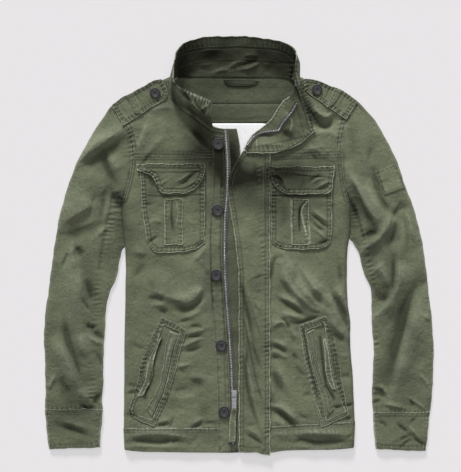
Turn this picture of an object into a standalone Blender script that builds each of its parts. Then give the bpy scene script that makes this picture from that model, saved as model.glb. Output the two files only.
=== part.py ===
"""Washed olive twill field jacket, laid out flat with its collar open and its zip undone.

X runs to the wearer's left, Y to the collar and Z up. The underside rests on Z = 0.
Lengths below are millimetres, turned to metres where a mesh is made.
"""

import math
from collections import namedtuple

import bmesh
import bpy
from mathutils import Vector
from mathutils.bvhtree import BVHTree

MM = 0.001

# Cloth and clearances
CLOTH = 1.5            # one layer of washed twill
HEM_EXTRA = 0.8        # what the turned hem and cuff add to one layer
COLLAR_CLOTH = 2.8     # two layers and their interlining
FACING_CLOTH = 1.0
LINING_CLOTH = 0.8
LOOP_CLOTH = 1.6       # a folded strip
TAPE_CLOTH = 0.8
LEAF_TAPE_CLOTH = 0.9
BAND_CLOTH = 1.4
FLAP_CLOTH = 2.0       # storm flap: two layers, pressed
STRIP_CLOTH = 1.8
GAP = 0.4              # between one piece and the one that it lies on
SEAM_GAP = 0.4         # between two pieces joined edge to edge
ARMHOLE_GAP = 0.9      # between the body and a sleeve

# Heights of the laid jacket above the table
FRONT_TOP = 7.0        # quiet parts of a front
FRONT_LOWEST = 5.2     # bottom of the deepest fold of a front
SIDE_ROLL = 3.6        # how much a turned side stands above the quiet front
SIDE_ROLL_WIDTH = 30
SIDE_TURN = 8          # width of the turned edge itself
SIDE_EDGE = 3.0        # its lowest line, over the back
SHOULDER_TOP = 4.6     # at the shoulder seam
SLEEVE_TOP = 7.8       # quiet parts of a sleeve
SLEEVE_EDGE = 4.2      # middle of a sleeve's folded edge
SLEEVE_ROOT = 4.4      # lowest of its upper face at the armhole
SLEEVE_LOWEST = 5.4
CUFF_TOP = 7.4

# Middle of the jacket's outline in the frame of the tables below
MIDDLE = (0.0, 1.35, 0.0)

RIGHT, LEFT = "right", "left"      # the wearer's

SideRow = namedtuple("SideRow", "y right left")
NeckRow = namedtuple("NeckRow", "x y down")                  # down: share of the armhole, 0 at the shoulder
ZipRow = namedtuple("ZipRow", "y teeth flap")
SleeveRow = namedtuple("SleeveRow", "out_x out_y in_x in_y bow")
CollarRow = namedtuple("CollarRow", "seam_x seam_y seam_z top_x top_y top_z bulge")
Fold = namedtuple("Fold", "x0 y0 x1 y1 half_width height")
FOLD_SPREAD = 7        # added to each half width, so that crests run smoothly over the rows
FOLD_EASE = 0.82       # and each height eased by this share
Row = namedtuple("Row", "y x0 x1")
Edge = namedtuple("Edge", "x0 y0 x1 y1")

# Sides of the body from the hem up to the armpits
HEM_Y = -380
BAND_Y = -336
SIDES = [
    SideRow(-380, -211, 213), SideRow(-336, -213, 215), SideRow(-290, -212, 213),
    SideRow(-228, -212, 211), SideRow(-184, -212, 204), SideRow(-140, -211, 208),
    SideRow(-100, -210, 200), SideRow(-45, -209, 200), SideRow(-6, -209, 200),
    SideRow(7, -212, 203), SideRow(21, -213, 207), SideRow(33, -214, 208), SideRow(46, -216, 208.6),
    SideRow(62, -218, 207.4),
    SideRow(78, -217, 205),
]
BODY_ROW_STEP = 19

# Hem: its lowest line wanders a little
HEM_LINE = [(-211, -376), (-185, -380), (-100, -381), (0, -382), (60, -382), (112, -376), (150, -378), (214, -374)]
BAND_TILT = {RIGHT: 0.0, LEFT: 0.06}     # the left band's seam rises towards its side

# Armholes: shoulder tip, armpit and how far the seam bows towards the neck
ARMHOLES = {
    RIGHT: dict(tip=(-236, 260), pit=(-217, 78), bow=29),
    LEFT: dict(tip=(219, 269), pit=(205, 78), bow=-22),
}
ARMHOLE_SKEW = 0.8

# Inner edges of the fronts above the armpits, up the zip and round the neck
YOKE_DOWN = 0.50
NECKS = {
    RIGHT: [
        NeckRow(-20, 90, 0.94), NeckRow(-20, 105, 0.86), NeckRow(-19, 130, 0.74), NeckRow(-19, 150, 0.62),
        NeckRow(-19, 167, 0.50), NeckRow(-20, 188, 0.40), NeckRow(-21, 206, 0.32), NeckRow(-22, 218, 0.25),
        NeckRow(-47, 220, 0.19), NeckRow(-74, 240, 0.13), NeckRow(-98, 257, 0.08), NeckRow(-120, 280, 0.04),
        NeckRow(-128, 309, 0.0),
    ],
    LEFT: [
        NeckRow(7, 90, 0.94), NeckRow(7, 105, 0.86), NeckRow(7, 130, 0.74), NeckRow(7, 150, 0.62),
        NeckRow(7, 166, 0.50), NeckRow(9, 176, 0.40), NeckRow(32, 200, 0.32), NeckRow(60, 222, 0.25),
        NeckRow(72, 245, 0.19), NeckRow(84, 264, 0.13), NeckRow(100, 279, 0.08), NeckRow(112, 293, 0.04),
        NeckRow(115, 309, 0.0),
    ],
}
LEFT_FRONT_INNER = 7
SHOULDER_BOW = 9           # how far a shoulder seam bows up between its ends
BACK_NECK_RISE = 50        # back neck above the line from one shoulder tip to the other
BACK_COLUMNS = [0, 0.08, 0.16, 0.244, 0.37, 0.5, 0.63, 0.765, 0.84, 0.92, 1]
BACK_ROWS = (-250, -165, -80, -8, 24, 60, 78)
BACK_NECK = [(0, 0), (0.08, 0.44), (0.16, 0.9), (0.244, 1), (0.765, 0.92), (0.84, 0.76), (0.92, 0.4), (1, 0)]
BACK_SHOULDER_ROWS = [(0.97, 0.0), (0.86, 0.0), (0.62, 0.0), (0.4, 0.0), (0.19, 0.3), (0.04, 0.8), (0.0, 1.0)]

# Inside the back of the neck
BACK_FACING_UPPER = [Edge(-116, 312, 104, 311), Edge(-122, 296, 110, 294), Edge(-134, 280, 122, 278),
                     Edge(-134, 264.4, 122, 264.4)]
BACK_FACING_LOWER = [Edge(-134, 264, 122, 264), Edge(-130, 246, 110, 246), Edge(-118, 228.4, 92, 228.4)]
BACK_LINING = [Edge(-64, 228, 60, 228), Edge(-52, 118, 48, 118)]
HANGER_LOOP = [Edge(-29, 310, 37, 309), Edge(-26, 303, 34, 302), Edge(-18, 297, 26, 296)]

# Zip teeth on the right front, and the free edge of the storm flap on the left
ZIP = [
    ZipRow(-380, -9, 0), ZipRow(-254, -11, 0), ZipRow(-191, -14, 0), ZipRow(-142, -18, 0), ZipRow(-105, -21, 0),
    ZipRow(-55, -24, 0), ZipRow(-8, -25, -4), ZipRow(55, -24, -13), ZipRow(92, -20, -20), ZipRow(110, -19, -21),
    ZipRow(129, -19, -19), ZipRow(151, -19, -10), ZipRow(174, -20, 7), ZipRow(197, -22, 20), ZipRow(219, -23, 30),
]
FLAP_SEAM_X = 58

# Pieces along the zip: reaches are measured from the teeth, or from the middle where they say x
TAPE_RIGHT = (-5.2, 4.2)
BUTTON_BAND = (-29, -6)
TAPE_LEFT = (3.4, 12)               # x
TAPE_LEFT_TOP = 168
GUARD_RIGHT = [(0, 2.2), (1, 1.2)]  # x of the guard's right edge, below and above its turn
GUARD_TURN = 190
GUARD_SLANT = 5
FLAP_TOP = 178
FLAP_ROWS = 30

# Sleeves from the armhole to the cuff
CUFF_SEAM_ROW = {RIGHT: 14, LEFT: 15}
SLEEVES = {
    RIGHT: [
        SleeveRow(-236, 260, -217, 78, 29), SleeveRow(-262, 223, -219, 60, 8), SleeveRow(-286, 182, -217, 45, 4),
        SleeveRow(-303, 149, -214, 27, 2), SleeveRow(-318, 106, -213, 7, 0), SleeveRow(-331, 61, -216, -10, 0),
        SleeveRow(-339, 16, -222, -32, 0), SleeveRow(-346, -32, -226, -60, 0), SleeveRow(-352, -80, -239, -84, 0),
        SleeveRow(-358, -121, -246, -121, 0), SleeveRow(-361, -166, -248, -166, 0),
        SleeveRow(-359, -210, -251, -210, 0), SleeveRow(-358, -254, -250, -254, 0),
        SleeveRow(-358, -284, -254, -279, 0), SleeveRow(-359, -301, -251, -301, 0),
        SleeveRow(-356, -340, -255, -340, 0), SleeveRow(-351, -375, -256, -372, 0),
    ],
    LEFT: [
        SleeveRow(219, 269, 205, 78, -22), SleeveRow(248, 240, 209, 64, -8), SleeveRow(274, 197, 210, 47, -4),
        SleeveRow(293, 158, 210, 32, -2), SleeveRow(308, 114, 208, 18, 0), SleeveRow(321, 80, 212, 5, 0),
        SleeveRow(331, 47, 222, -10, 0), SleeveRow(339, 12, 227, -32, 0), SleeveRow(346, -32, 232, -53, 0),
        SleeveRow(351, -80, 246, -80, 0), SleeveRow(356, -121, 245, -121, 0), SleeveRow(360, -166, 248, -166, 0),
        SleeveRow(361, -206, 250, -201, 0), SleeveRow(359, -251, 247, -251, 0), SleeveRow(357, -291, 247, -288, 0),
        SleeveRow(354, -306, 248, -306, 0), SleeveRow(351, -340, 250, -340, 0), SleeveRow(346, -379, 253, -375, 0),
    ],
}
SLEEVE_ROW_STEP = 26
EDGE_MITRE = 1.3
ARMPIT_MITRE = 2
ARMPIT_SINK = 0.4
SLEEVE_SHARES = [0.0] + [neck.down for neck in reversed(NECKS[RIGHT][:-1])] + [1.0]
SLEEVE_UNDERSIDE = [(0.97, 0.35), (0.86, 0.0), (0.62, 0.0), (0.4, 0.0), (0.19, 0.0), (0.04, 0.35)]

# Collar from its right front end, round the back of the neck, to the leaf that has fallen open on the left
COLLAR = [
    CollarRow(-47, 220, 10, -49, 265, 30, 9), CollarRow(-61, 231, 10, -64, 274, 33, 9),
    CollarRow(-75, 241, 10, -81, 281, 36, 9), CollarRow(-92, 254, 10, -97, 288, 40, 8),
    CollarRow(-108, 266, 10, -109, 292, 44, 7), CollarRow(-121, 278, 10, -116, 301, 47, 5),
    CollarRow(-126, 293, 9, -118, 315, 48, 3), CollarRow(-124, 306, 8, -118, 336, 44, 3),
    CollarRow(-116, 313.6, 6, -113, 358, 36, 4), CollarRow(-100, 314, 4.5, -102, 376, 26, 3),
    CollarRow(-72, 314, 4, -73, 386, 18, 1), CollarRow(-35, 313.6, 4, -35, 389, 14, 0),
    CollarRow(2, 313.4, 4, 2, 389, 12, 0), CollarRow(42, 313.4, 4, 40, 387, 14, 0),
    CollarRow(74, 312.6, 4.5, 73, 380, 20, 1), CollarRow(96, 311, 6, 96, 370, 30, 3),
    CollarRow(109, 303, 9, 107, 355, 42, 4), CollarRow(113, 293, 11, 103, 335, 52, 3),
    CollarRow(106, 284, 12, 100, 312, 54, 2), CollarRow(95, 278, 13, 104, 296, 47, 0),
    CollarRow(82, 270, 14, 111, 283, 36, -3), CollarRow(73, 258, 13, 124, 256, 26, -3),
    CollarRow(65, 243, 12, 135, 233, 18, -2), CollarRow(54, 228, 11, 142, 214, 14, -1),
    CollarRow(39, 219, 11, 119, 193, 12, 0), CollarRow(26, 208, 11, 86, 174, 12, 0),
    CollarRow(15, 193, 11, 47, 172, 12, 0), CollarRow(9, 180, 11, 16, 172, 12, 0),
]
COLLAR_COLUMNS = 6
LEAF_FIRST_ROW = 20

# Zip tape on the leaf
LEAF_TAPE = [Edge(104, 268, 110, 262), Edge(93, 249, 99, 243), Edge(78, 231, 84, 225), Edge(72, 219, 76, 211),
             Edge(44, 215, 45, 207), Edge(24, 204, 28, 197), Edge(13, 186, 18, 182)]

# The largest folds: crests are above zero, troughs below
FOLDS = [
    # right front
    Fold(-172, 190, -130, 212, 45, 3.5), Fold(-108, 240, -64, 178, 26, -1.8),
    Fold(-130, -82, -98, -62, 40, 5), Fold(-68, -71, -81, -99, 16, -2.5), Fold(-81, -99, -105, -117, 16, -2.5),
    Fold(-105, -117, -142, -117, 16, -2.2), Fold(-82, -119, -55, -108, 18, 4.5), Fold(-122, -136, -97, -149, 14, -2),
    Fold(-58, -150, -95, -161, 15, 3), Fold(-76, -44, -45, -76, 15, 3.5), Fold(-165, -361, -100, -361, 15, -2),
    Fold(-150, -342, -60, -341, 16, 1.8), Fold(-196, -250, -176, -265, 16, -2),
    # left front
    Fold(84, -34, 126, -86, 17, 5.5), Fold(126, -86, 178, -128, 17, 5.5), Fold(112, -20, 150, -60, 19, 5.5),
    Fold(150, -60, 180, -96, 19, 5.5), Fold(113, -52, 163, -103, 12, -3), Fold(66, -92, 123, -114, 15, -2.4),
    Fold(72, -112, 108, -126, 14, 3.5), Fold(104, -141, 152, -131, 13, -2.4), Fold(173, -76, 196, -124, 14, -4.5),
    Fold(68, -301, 104, -329, 13, -2.4), Fold(76, -290, 114, -316, 14, 3.5), Fold(110, -361, 200, -364, 13, -3),
    Fold(112, -346, 196, -345, 14, 2.5), Fold(117, 276, 136, 234, 15, -2.4), Fold(140, 230, 176, 230, 14, -2.4),
    Fold(150, 250, 156, 254, 24, 4.5), Fold(128, 203, 178, 166, 22, 4.5),
    # right sleeve
    Fold(-214, 217, -284, 176, 20, 5), Fold(-220, 201, -288, 152, 15, -4), Fold(-255, 169, -226, 122, 15, -4),
    Fold(-300, 84, -262, 122, 25, 4), Fold(-318, 32, -264, 82, 22, -4), Fold(-300, 2, -252, 22, 26, 5),
    Fold(-292, -51, -276, -93, 15, -5), Fold(-276, -93, -264, -160, 15, -4.5), Fold(-312, -60, -294, -130, 20, 4.5),
    Fold(-294, -130, -288, -190, 20, 4), Fold(-316, -176, -286, -252, 16, -4), Fold(-336, -195, -308, -268, 18, 4),
    Fold(-284, -190, -268, -240, 15, 3.5), Fold(-288, -290, -264, -303, 14, -4),
    Fold(-330, -332, -278, -350, 15, -2.4),
    # left sleeve
    Fold(253, 132, 273, 68, 14, -4), Fold(208, 122, 254, 54, 17, 4.5), Fold(302, 76, 282, 14, 15, -5.5),
    Fold(282, 14, 250, -22, 15, -5), Fold(322, 66, 303, 4, 18, 5), Fold(303, 4, 272, -34, 18, 4),
    Fold(278, 76, 256, 22, 15, 3.5), Fold(258, -70, 278, -92, 15, -5), Fold(278, -92, 258, -112, 14, -4.5),
    Fold(258, -130, 284, -108, 15, 5), Fold(284, -108, 293, -56, 15, 4.5), Fold(336, -66, 318, -82, 14, -5),
    Fold(318, -82, 308, -149, 14, -5.5), Fold(308, -149, 274, -250, 14, -5), Fold(332, -149, 304, -219, 18, 5),
    Fold(304, -219, 286, -262, 18, 4), Fold(296, -334, 318, -354, 13, -2),
]

# Pockets
CHEST_POCKETS = {
    RIGHT: [Row(143, -183, -64), Row(98, -180, -63), Row(58, -178, -63), Row(30, -172, -63), Row(6, -169, -63),
            Row(-4, -162, -78), Row(-11, -154, -100)],
    LEFT: [Row(140, 60, 171), Row(98, 60, 172), Row(58, 60, 172), Row(30, 60, 172), Row(10, 60, 171),
           Row(2, 67, 165), Row(-5, 80, 153)],
}
PLEATS = {RIGHT: (-137, -104), LEFT: (98, 129)}
PLEAT_SPAN = (88, 3)
POCKET_FLAPS = {
    RIGHT: [Row(153, -188, -62), Row(141, -188, -62), Row(137, -172, -63), Row(128, -157, -65), Row(117, -153, -72),
            Row(108, -151, -80), Row(98, -141, -97)],
    LEFT: [Row(148, 56, 178), Row(138, 57, 177), Row(128, 59, 176), Row(116, 64, 174), Row(105, 71, 172),
           Row(97, 86, 162)],
}

# Hip pockets: a stitched frame round a long slit, with a welt on each side of the slit
HIP_FRAMES = {
    RIGHT: [Edge(-142, -131, -140, -145), Edge(-153, -149, -146, -165), Edge(-171, -188, -152, -182),
            Edge(-183, -223, -168, -216), Edge(-188, -254, -177, -254), Edge(-198, -284, -190, -284),
            Edge(-205, -304, -199, -303), Edge(-200, -314, -195, -308), Edge(-176, -325, -177, -315),
            Edge(-157, -333, -161, -321), Edge(-131, -277, -141, -277), Edge(-119, -239, -131, -246),
            Edge(-108, -194, -124, -203), Edge(-97, -154, -109, -158), Edge(-120, -141, -124, -151)],
    LEFT: [Edge(161, -128, 158, -143), Edge(172, -146, 162, -165), Edge(184, -200, 168, -200),
           Edge(191, -246, 176, -246), Edge(198, -290, 186, -278), Edge(204, -311, 197, -304),
           Edge(178, -324, 180, -313), Edge(153, -334, 161, -322), Edge(138, -281, 157, -289),
           Edge(127, -236, 145, -247), Edge(119, -194, 133, -206), Edge(111, -147, 124, -157),
           Edge(136, -137, 141, -149)],
}
HIP_WELTS = {       # toward the front edge
    RIGHT: [Edge(-128, -156, -111, -162), Edge(-137, -194, -126, -201), Edge(-140, -223, -130, -225),
            Edge(-145, -251, -134, -248), Edge(-160, -282, -144, -278), Edge(-171, -300, -161, -315)],
    LEFT: [Edge(126, -160, 141, -152), Edge(134, -200, 144, -198), Edge(142, -228, 149, -226),
           Edge(148, -250, 156, -248), Edge(157, -280, 168, -274), Edge(163, -314, 176, -300)],
}
HIP_LINERS = {      # toward the side, with a frayed raw edge
    RIGHT: [Edge(-148, -172, -143, -168), Edge(-165, -206, -157, -204), Edge(-172, -240, -158, -240),
            Edge(-178, -259, -168, -257), Edge(-187, -278, -177, -276)],
    LEFT: [Edge(156, -172, 161, -170), Edge(159, -205, 167, -204), Edge(160, -228, 171, -228),
           Edge(165, -251, 175, -251), Edge(173, -264, 179, -264)],
}

# Shoulder straps, their loops, the sleeve patch
STRAPS = {
    RIGHT: [Edge(-235, 262, -213, 223), Edge(-215, 277, -190, 239), Edge(-193, 287, -170, 252),
            Edge(-172, 299, -150, 264), Edge(-156, 309, -133, 275), Edge(-142, 309, -131, 286)],
    LEFT: [Edge(219, 269, 199, 235), Edge(205, 280, 186, 244), Edge(189, 291, 174, 252), Edge(174, 296, 162, 260),
           Edge(157, 303, 148, 270), Edge(140, 309, 134, 280), Edge(121, 310, 123, 289)],
}
STRAP_LOOPS = {
    RIGHT: [Edge(-208, 280, -195, 286), Edge(-199, 262, -186, 266), Edge(-190, 245, -177, 247)],
    LEFT: [Edge(177, 292, 190, 289), Edge(169, 272, 182, 274), Edge(162, 256, 174, 262)],
}
SLEEVE_PATCH = [Edge(252, 138, 291, 154), Edge(270, 96, 308, 111)]

# Buttons
FRONT_BUTTONS = [(-38, 190), (-39, 67), (-42, -53), (-32, -183), (-27, -306)]
STRAP_BUTTONS = {RIGHT: (-155, 284), LEFT: (145, 290)}
BUTTON_RADIUS = 11.2
STRAP_BUTTON_RADIUS = 10
BUTTON_THICK = 3.6
BUTTON_SIDES = 14

# Zip slider and its pull
SLIDER_Y = -272
SLIDER_X = -8.5
SLIDER_SIZE = (9, 13, 3.4)
BRIDGE_SIZE = (2.4, 7.0, 3.4)       # over the slider, with a tunnel that the pull's bar turns in
BRIDGE_WALL = 0.8
BRIDGE_SINK = 0.5                   # into the slider
NICKEL_BEVEL = 0.15
PULL_BAR = 1.1
PULL_EYE = (4.4, 6.0)               # inside width and reach of the pull's eye
PULL_WIDTH = 8.4
PULL_LENGTH = 25
PULL_THICK = 1.2
TAPE_PULL_WIDTH = 12.5
TAPE_PULL_END = -362
STRIP_ROWS = [Row(0, -4.2, 4.2), Row(-10, -6, 4.6), Row(-24, -9, 3)]      # from the pull's end and the slider's x
STRIP_END_X = -10.5
STRIP_FALL = 26                     # length over which the strip sinks from the pull to the cloth

# Colours, sRGB 0 to 1, with roughness and metallic
TWILL = ((0.36, 0.385, 0.305), 0.92, 0.0)
TWILL_INSIDE = ((0.24, 0.255, 0.205), 0.94, 0.0)
TWILL_PALE = ((0.42, 0.44, 0.35), 0.92, 0.0)
LINING = ((0.88, 0.885, 0.89), 0.85, 0.0)
ZIP_TAPE = ((0.36, 0.355, 0.35), 0.85, 0.0)
BUTTON = ((0.17, 0.16, 0.18), 0.45, 0.0)
NICKEL = ((0.55, 0.55, 0.57), 0.35, 1.0)


# ---------------------------------------------------------------- curves and heights

def mix(a, b, t):
    return a + (b - a) * t


def smooth(t):
    t = min(max(t, 0.0), 1.0)
    return t * t * (3 - 2 * t)


def read(pairs, at):
    """Value at a place, on straight lines between (place, value) pairs in rising order."""
    if at <= pairs[0][0]:
        return pairs[0][1]
    for (a, va), (b, vb) in zip(pairs, pairs[1:]):
        if at <= b:
            return mix(va, vb, (at - a) / (b - a))
    return pairs[-1][1]


def through(rows, at):
    """A row between two table rows, on a smooth curve through them all."""
    last = len(rows) - 1
    i = min(int(at), last - 1)
    t = at - i
    quad = [rows[max(i - 1, 0)], rows[i], rows[i + 1], rows[min(i + 2, last)]]
    weights = (
        -0.5 * t + t * t - 0.5 * t ** 3,
        1 - 2.5 * t * t + 1.5 * t ** 3,
        0.5 * t + 2 * t * t - 1.5 * t ** 3,
        -0.5 * t * t + 0.5 * t ** 3,
    )
    return [sum(w * row[k] for w, row in zip(weights, quad)) for k in range(len(rows[0]))]


def fold_height(x, y):
    """Crests and troughs of all folds at a plan point."""
    total = 0.0
    for fold in FOLDS:
        dx, dy = fold.x1 - fold.x0, fold.y1 - fold.y0
        length_squared = dx * dx + dy * dy
        t = ((x - fold.x0) * dx + (y - fold.y0) * dy) / length_squared
        t = min(max(t, 0.0), 1.0)
        off = math.hypot(x - fold.x0 - t * dx, y - fold.y0 - t * dy) / (fold.half_width + FOLD_SPREAD)
        if off < 1:
            total += FOLD_EASE * fold.height * (1 - off * off) ** 2
    return total


def ripple(x, y):
    """Slow unevenness of the laid cloth."""
    return 0.45 * math.sin(x / 37 + 1.3) * math.cos(y / 49) + 0.35 * math.sin((x + y) / 29)


def side_x(side, y):
    """Side edge of the body at a height."""
    column = 1 if side == RIGHT else 2
    return read([(row[0], row[column]) for row in SIDES], y)


def teeth_x(y):
    return read([(row.y, row.teeth) for row in ZIP], y)


def flap_edge_x(y):
    return read([(row.y, row.flap) for row in ZIP], y)


def armhole(side, down):
    """Plan point of an armhole seam, from the shoulder tip (0) to the armpit (1)."""
    hole = ARMHOLES[side]
    bow = hole["bow"] * math.sin(math.pi * down ** ARMHOLE_SKEW)
    return mix(hole["tip"][0], hole["pit"][0], down) + bow, mix(hole["tip"][1], hole["pit"][1], down)


# ---------------------------------------------------------------- solids from layers

solids = {}       # name: (points, triangles), in millimetres
DIAGONAL_BIAS = 0.8


def add_material(name, finish):
    colour, roughness, metallic = finish
    material = bpy.data.materials.new(name)
    material.use_nodes = True
    shader = material.node_tree.nodes["Principled BSDF"]
    linear = [c / 12.92 if c <= 0.04045 else ((c + 0.055) / 1.055) ** 2.4 for c in colour]
    shader.inputs["Base Color"].default_value = (*linear, 1)
    shader.inputs["Roughness"].default_value = roughness
    shader.inputs["Metallic"].default_value = metallic
    material.diffuse_color = (*linear, 1)
    return material


def add_object(name, points, faces, finish, origin=(0, 0, 0)):
    """Object with its own mesh and material, moved so that the jacket's middle is the frame's origin."""
    shape = bmesh.new()
    verts = [shape.verts.new([(c - o) * MM for c, o in zip(p, origin)]) for p in points]
    for face in faces:
        shape.faces.new([verts[i] for i in face])
    bmesh.ops.recalc_face_normals(shape, faces=shape.faces)
    if shape.calc_volume(signed=True) < 0:
        bmesh.ops.reverse_faces(shape, faces=shape.faces)
    mesh = bpy.data.meshes.new(name)
    shape.to_mesh(mesh)
    shape.free()
    piece = bpy.data.objects.new(name, mesh)
    piece.location = [(o - m) * MM for o, m in zip(origin, MIDDLE)]
    bpy.context.collection.objects.link(piece)
    mesh.materials.append(add_material(name, finish))
    mesh.shade_smooth()
    mesh.set_sharp_from_angle(angle=math.radians(50))
    return piece


def split_cell(grid, r, c, wrap):
    """The two triangles of a grid's cell, as (row, column) corners, cut along its shorter diagonal."""
    after = (c + 1) % len(grid[0]) if wrap else c + 1
    a, b, d, e = (r, c), (r, after), (r + 1, after), (r + 1, c)
    first = math.dist(grid[a[0]][a[1]][:2], grid[d[0]][d[1]][:2])
    second = math.dist(grid[b[0]][b[1]][:2], grid[e[0]][e[1]][:2])
    if second < DIAGONAL_BIAS * first:
        return (a, b, e), (b, d, e)
    return (a, b, d), (a, d, e)


def close_layers(name, top, under, finish, wrap=False, origin=(0, 0, 0)):
    """Closed solid between two grids of points, rows by columns, with a rim round their borders."""
    rows, columns = len(top), len(top[0])
    points = [p for row in top for p in row] + [p for row in under for p in row]
    below = rows * columns

    def at(r, c):
        return r * columns + c % columns

    faces = []
    for r in range(rows - 1):
        for c in range(columns if wrap else columns - 1):
            for corners in split_cell(top, r, c, wrap):
                a, b, d = (at(*corner) for corner in corners)
                faces += [(a, b, d), (below + a, below + d, below + b)]
    ends = [[at(0, c) for c in range(columns)], [at(rows - 1, c) for c in reversed(range(columns))]]
    if wrap:
        rims = [ring + ring[:1] for ring in ends]
    else:
        rims = [ends[0][:-1] + [at(r, columns - 1) for r in range(rows - 1)]
                + ends[1][:-1] + [at(r, 0) for r in reversed(range(rows))]]
    for rim in rims:
        for a, b in zip(rim, rim[1:]):
            faces += [(b, a, below + a), (b, below + a, below + b)]
    solids[name] = (points, faces)
    return add_object(name, points, faces, finish, origin)


def grid_normals(grid, wrap=False):
    """Unit normals of a grid of points, on the side that a row and then a column turn to."""
    rows, columns = len(grid), len(grid[0])
    normals = []
    for r in range(rows):
        line = []
        for c in range(columns):
            before = grid[r][(c - 1) % columns if wrap else max(c - 1, 0)]
            after = grid[r][(c + 1) % columns if wrap else min(c + 1, columns - 1)]
            along = Vector(after) - Vector(before)
            across = Vector(grid[min(r + 1, rows - 1)][c]) - Vector(grid[max(r - 1, 0)][c])
            line.append(along.cross(across).normalized())
        normals.append(line)
    return normals


def moved(grid, normals, distance):
    return [[tuple(Vector(p) + n * distance) for p, n in zip(row, line)] for row, line in zip(grid, normals)]


def part_rows(rows, first_gap, last_gap):
    """Rows of a panel with its ends drawn back from the seams that they stop at."""
    rows = [list(row) for row in rows]
    for end, inner, gap in ((0, 1, first_gap), (-1, -2, last_gap)):
        if gap:
            for c, p in enumerate(rows[end]):
                step = Vector(rows[inner][c]) - Vector(p)
                if step.length > gap:
                    rows[end][c] = tuple(Vector(p) + step.normalized() * gap)
    return rows


# ---------------------------------------------------------------- cloth laid on other cloth

def height_over(names):
    """Height of the highest of the named solids over a plan point, or None."""
    points, triangles = [], []
    for name in names:
        start = len(points)
        points += solids[name][0]
        triangles += [tuple(i + start for i in face) for face in solids[name][1]]
    tree = BVHTree.FromPolygons([Vector(p) for p in points], triangles)

    def height(x, y):
        hit = tree.ray_cast(Vector((x, y, 500.0)), Vector((0.0, 0.0, -1.0)))[0]
        return hit.z if hit is not None else None
    return height


TRIANGLE_SAMPLES = [(i / 5, j / 5) for i in range(6) for j in range(6 - i)]


def settle(grid, height, gap, wrap=False):
    """Raise a grid's points until each of its triangles clears what lies under it."""
    rows, columns = len(grid), len(grid[0])
    for _ in range(8):
        lift = {}
        for r in range(rows - 1):
            for c in range(columns if wrap else columns - 1):
                for corners in split_cell(grid, r, c, wrap):
                    p, q, s = (grid[i][j] for i, j in corners)
                    need = 0.0
                    for u, v in TRIANGLE_SAMPLES:
                        w = 1 - u - v
                        x, y, z = (w * p[k] + u * q[k] + v * s[k] for k in range(3))
                        low = height(x, y)
                        if low is not None:
                            need = max(need, low + gap - z)
                    if need > 0.01:
                        for corner in corners:
                            lift[corner] = max(lift.get(corner, 0), need)
        if not lift:
            break
        for (r, c), rise in lift.items():
            x, y, z = grid[r][c]
            grid[r][c] = (x, y, z + rise)
    return grid


def drape(plan, over, gap=GAP, stiffness=2, wrap=False):
    """Underside of a cloth on the named solids: it follows them and bridges their hollows."""
    height = height_over(over)
    rows, columns = len(plan), len(plan[0])
    rest = [[height(x, y) for x, y in row] for row in plan]
    known = [z for row in rest for z in row if z is not None]
    z = [[(v if v is not None else min(known)) + gap for v in row] for row in rest]
    for _ in range(stiffness):
        spread = []
        for r in range(rows):
            line = []
            for c in range(columns):
                near = [z[i][c] for i in (r - 1, r + 1) if 0 <= i < rows]
                if wrap:
                    near += [z[r][(c - 1) % columns], z[r][(c + 1) % columns]]
                else:
                    near += [z[r][j] for j in (c - 1, c + 1) if 0 <= j < columns]
                line.append(max(z[r][c], sum(near) / len(near)))
            spread.append(line)
        z = spread
    grid = [[(x, y, h) for (x, y), h in zip(row, line)] for row, line in zip(plan, z)]
    return settle(grid, height, gap, wrap)


def ruled(left, right, columns, step):
    """Plan rows between two edges given point by point, no further apart than a step."""
    rows = []
    for i in range(len(left) - 1):
        span = max(math.dist(left[i], left[i + 1]), math.dist(right[i], right[i + 1]))
        parts = max(1, math.ceil(span / step))
        for k in range(parts):
            t = k / parts
            rows.append(([mix(a, b, t) for a, b in zip(left[i], left[i + 1])],
                         [mix(a, b, t) for a, b in zip(right[i], right[i + 1])]))
    rows.append((left[-1], right[-1]))
    return [[(mix(a[0], b[0], c / columns), mix(a[1], b[1], c / columns)) for c in range(columns + 1)]
            for a, b in rows]


def edge_plan(table, columns, step):
    return ruled([(e.x0, e.y0) for e in table], [(e.x1, e.y1) for e in table], columns, step)


def row_plan(table, columns, step):
    return ruled([(r.x0, r.y) for r in table], [(r.x1, r.y) for r in table], columns, step)


def lay(name, plan, over, thickness, finish, wrap=False, stiffness=2):
    """Flat piece of cloth laid on the named solids."""
    under = drape(plan, over, stiffness=stiffness, wrap=wrap)
    top = [[(x, y, z + thickness) for x, y, z in row] for row in under]
    return close_layers(name, top, under, finish, wrap)


# ---------------------------------------------------------------- body

def body_row_heights():
    """Heights of the body's rows from the hem to just under the armpits."""
    pit = SIDES[-1].y
    count = round((pit - BAND_Y) / BODY_ROW_STEP)
    return [HEM_Y, (HEM_Y + BAND_Y) / 2] + [mix(BAND_Y, pit, i / count) for i in range(count + 1)]


def front_top(x, y, side, turned):
    """Height of a front's outer face, standing higher beside a turned side."""
    from_side = abs(side_x(side, y) - x)
    roll = SIDE_ROLL * math.exp(-((from_side - SIDE_TURN) / SIDE_ROLL_WIDTH) ** 2) * turned
    return max(FRONT_TOP + ripple(x, y) + fold_height(x, y) + roll, FRONT_LOWEST)


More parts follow.
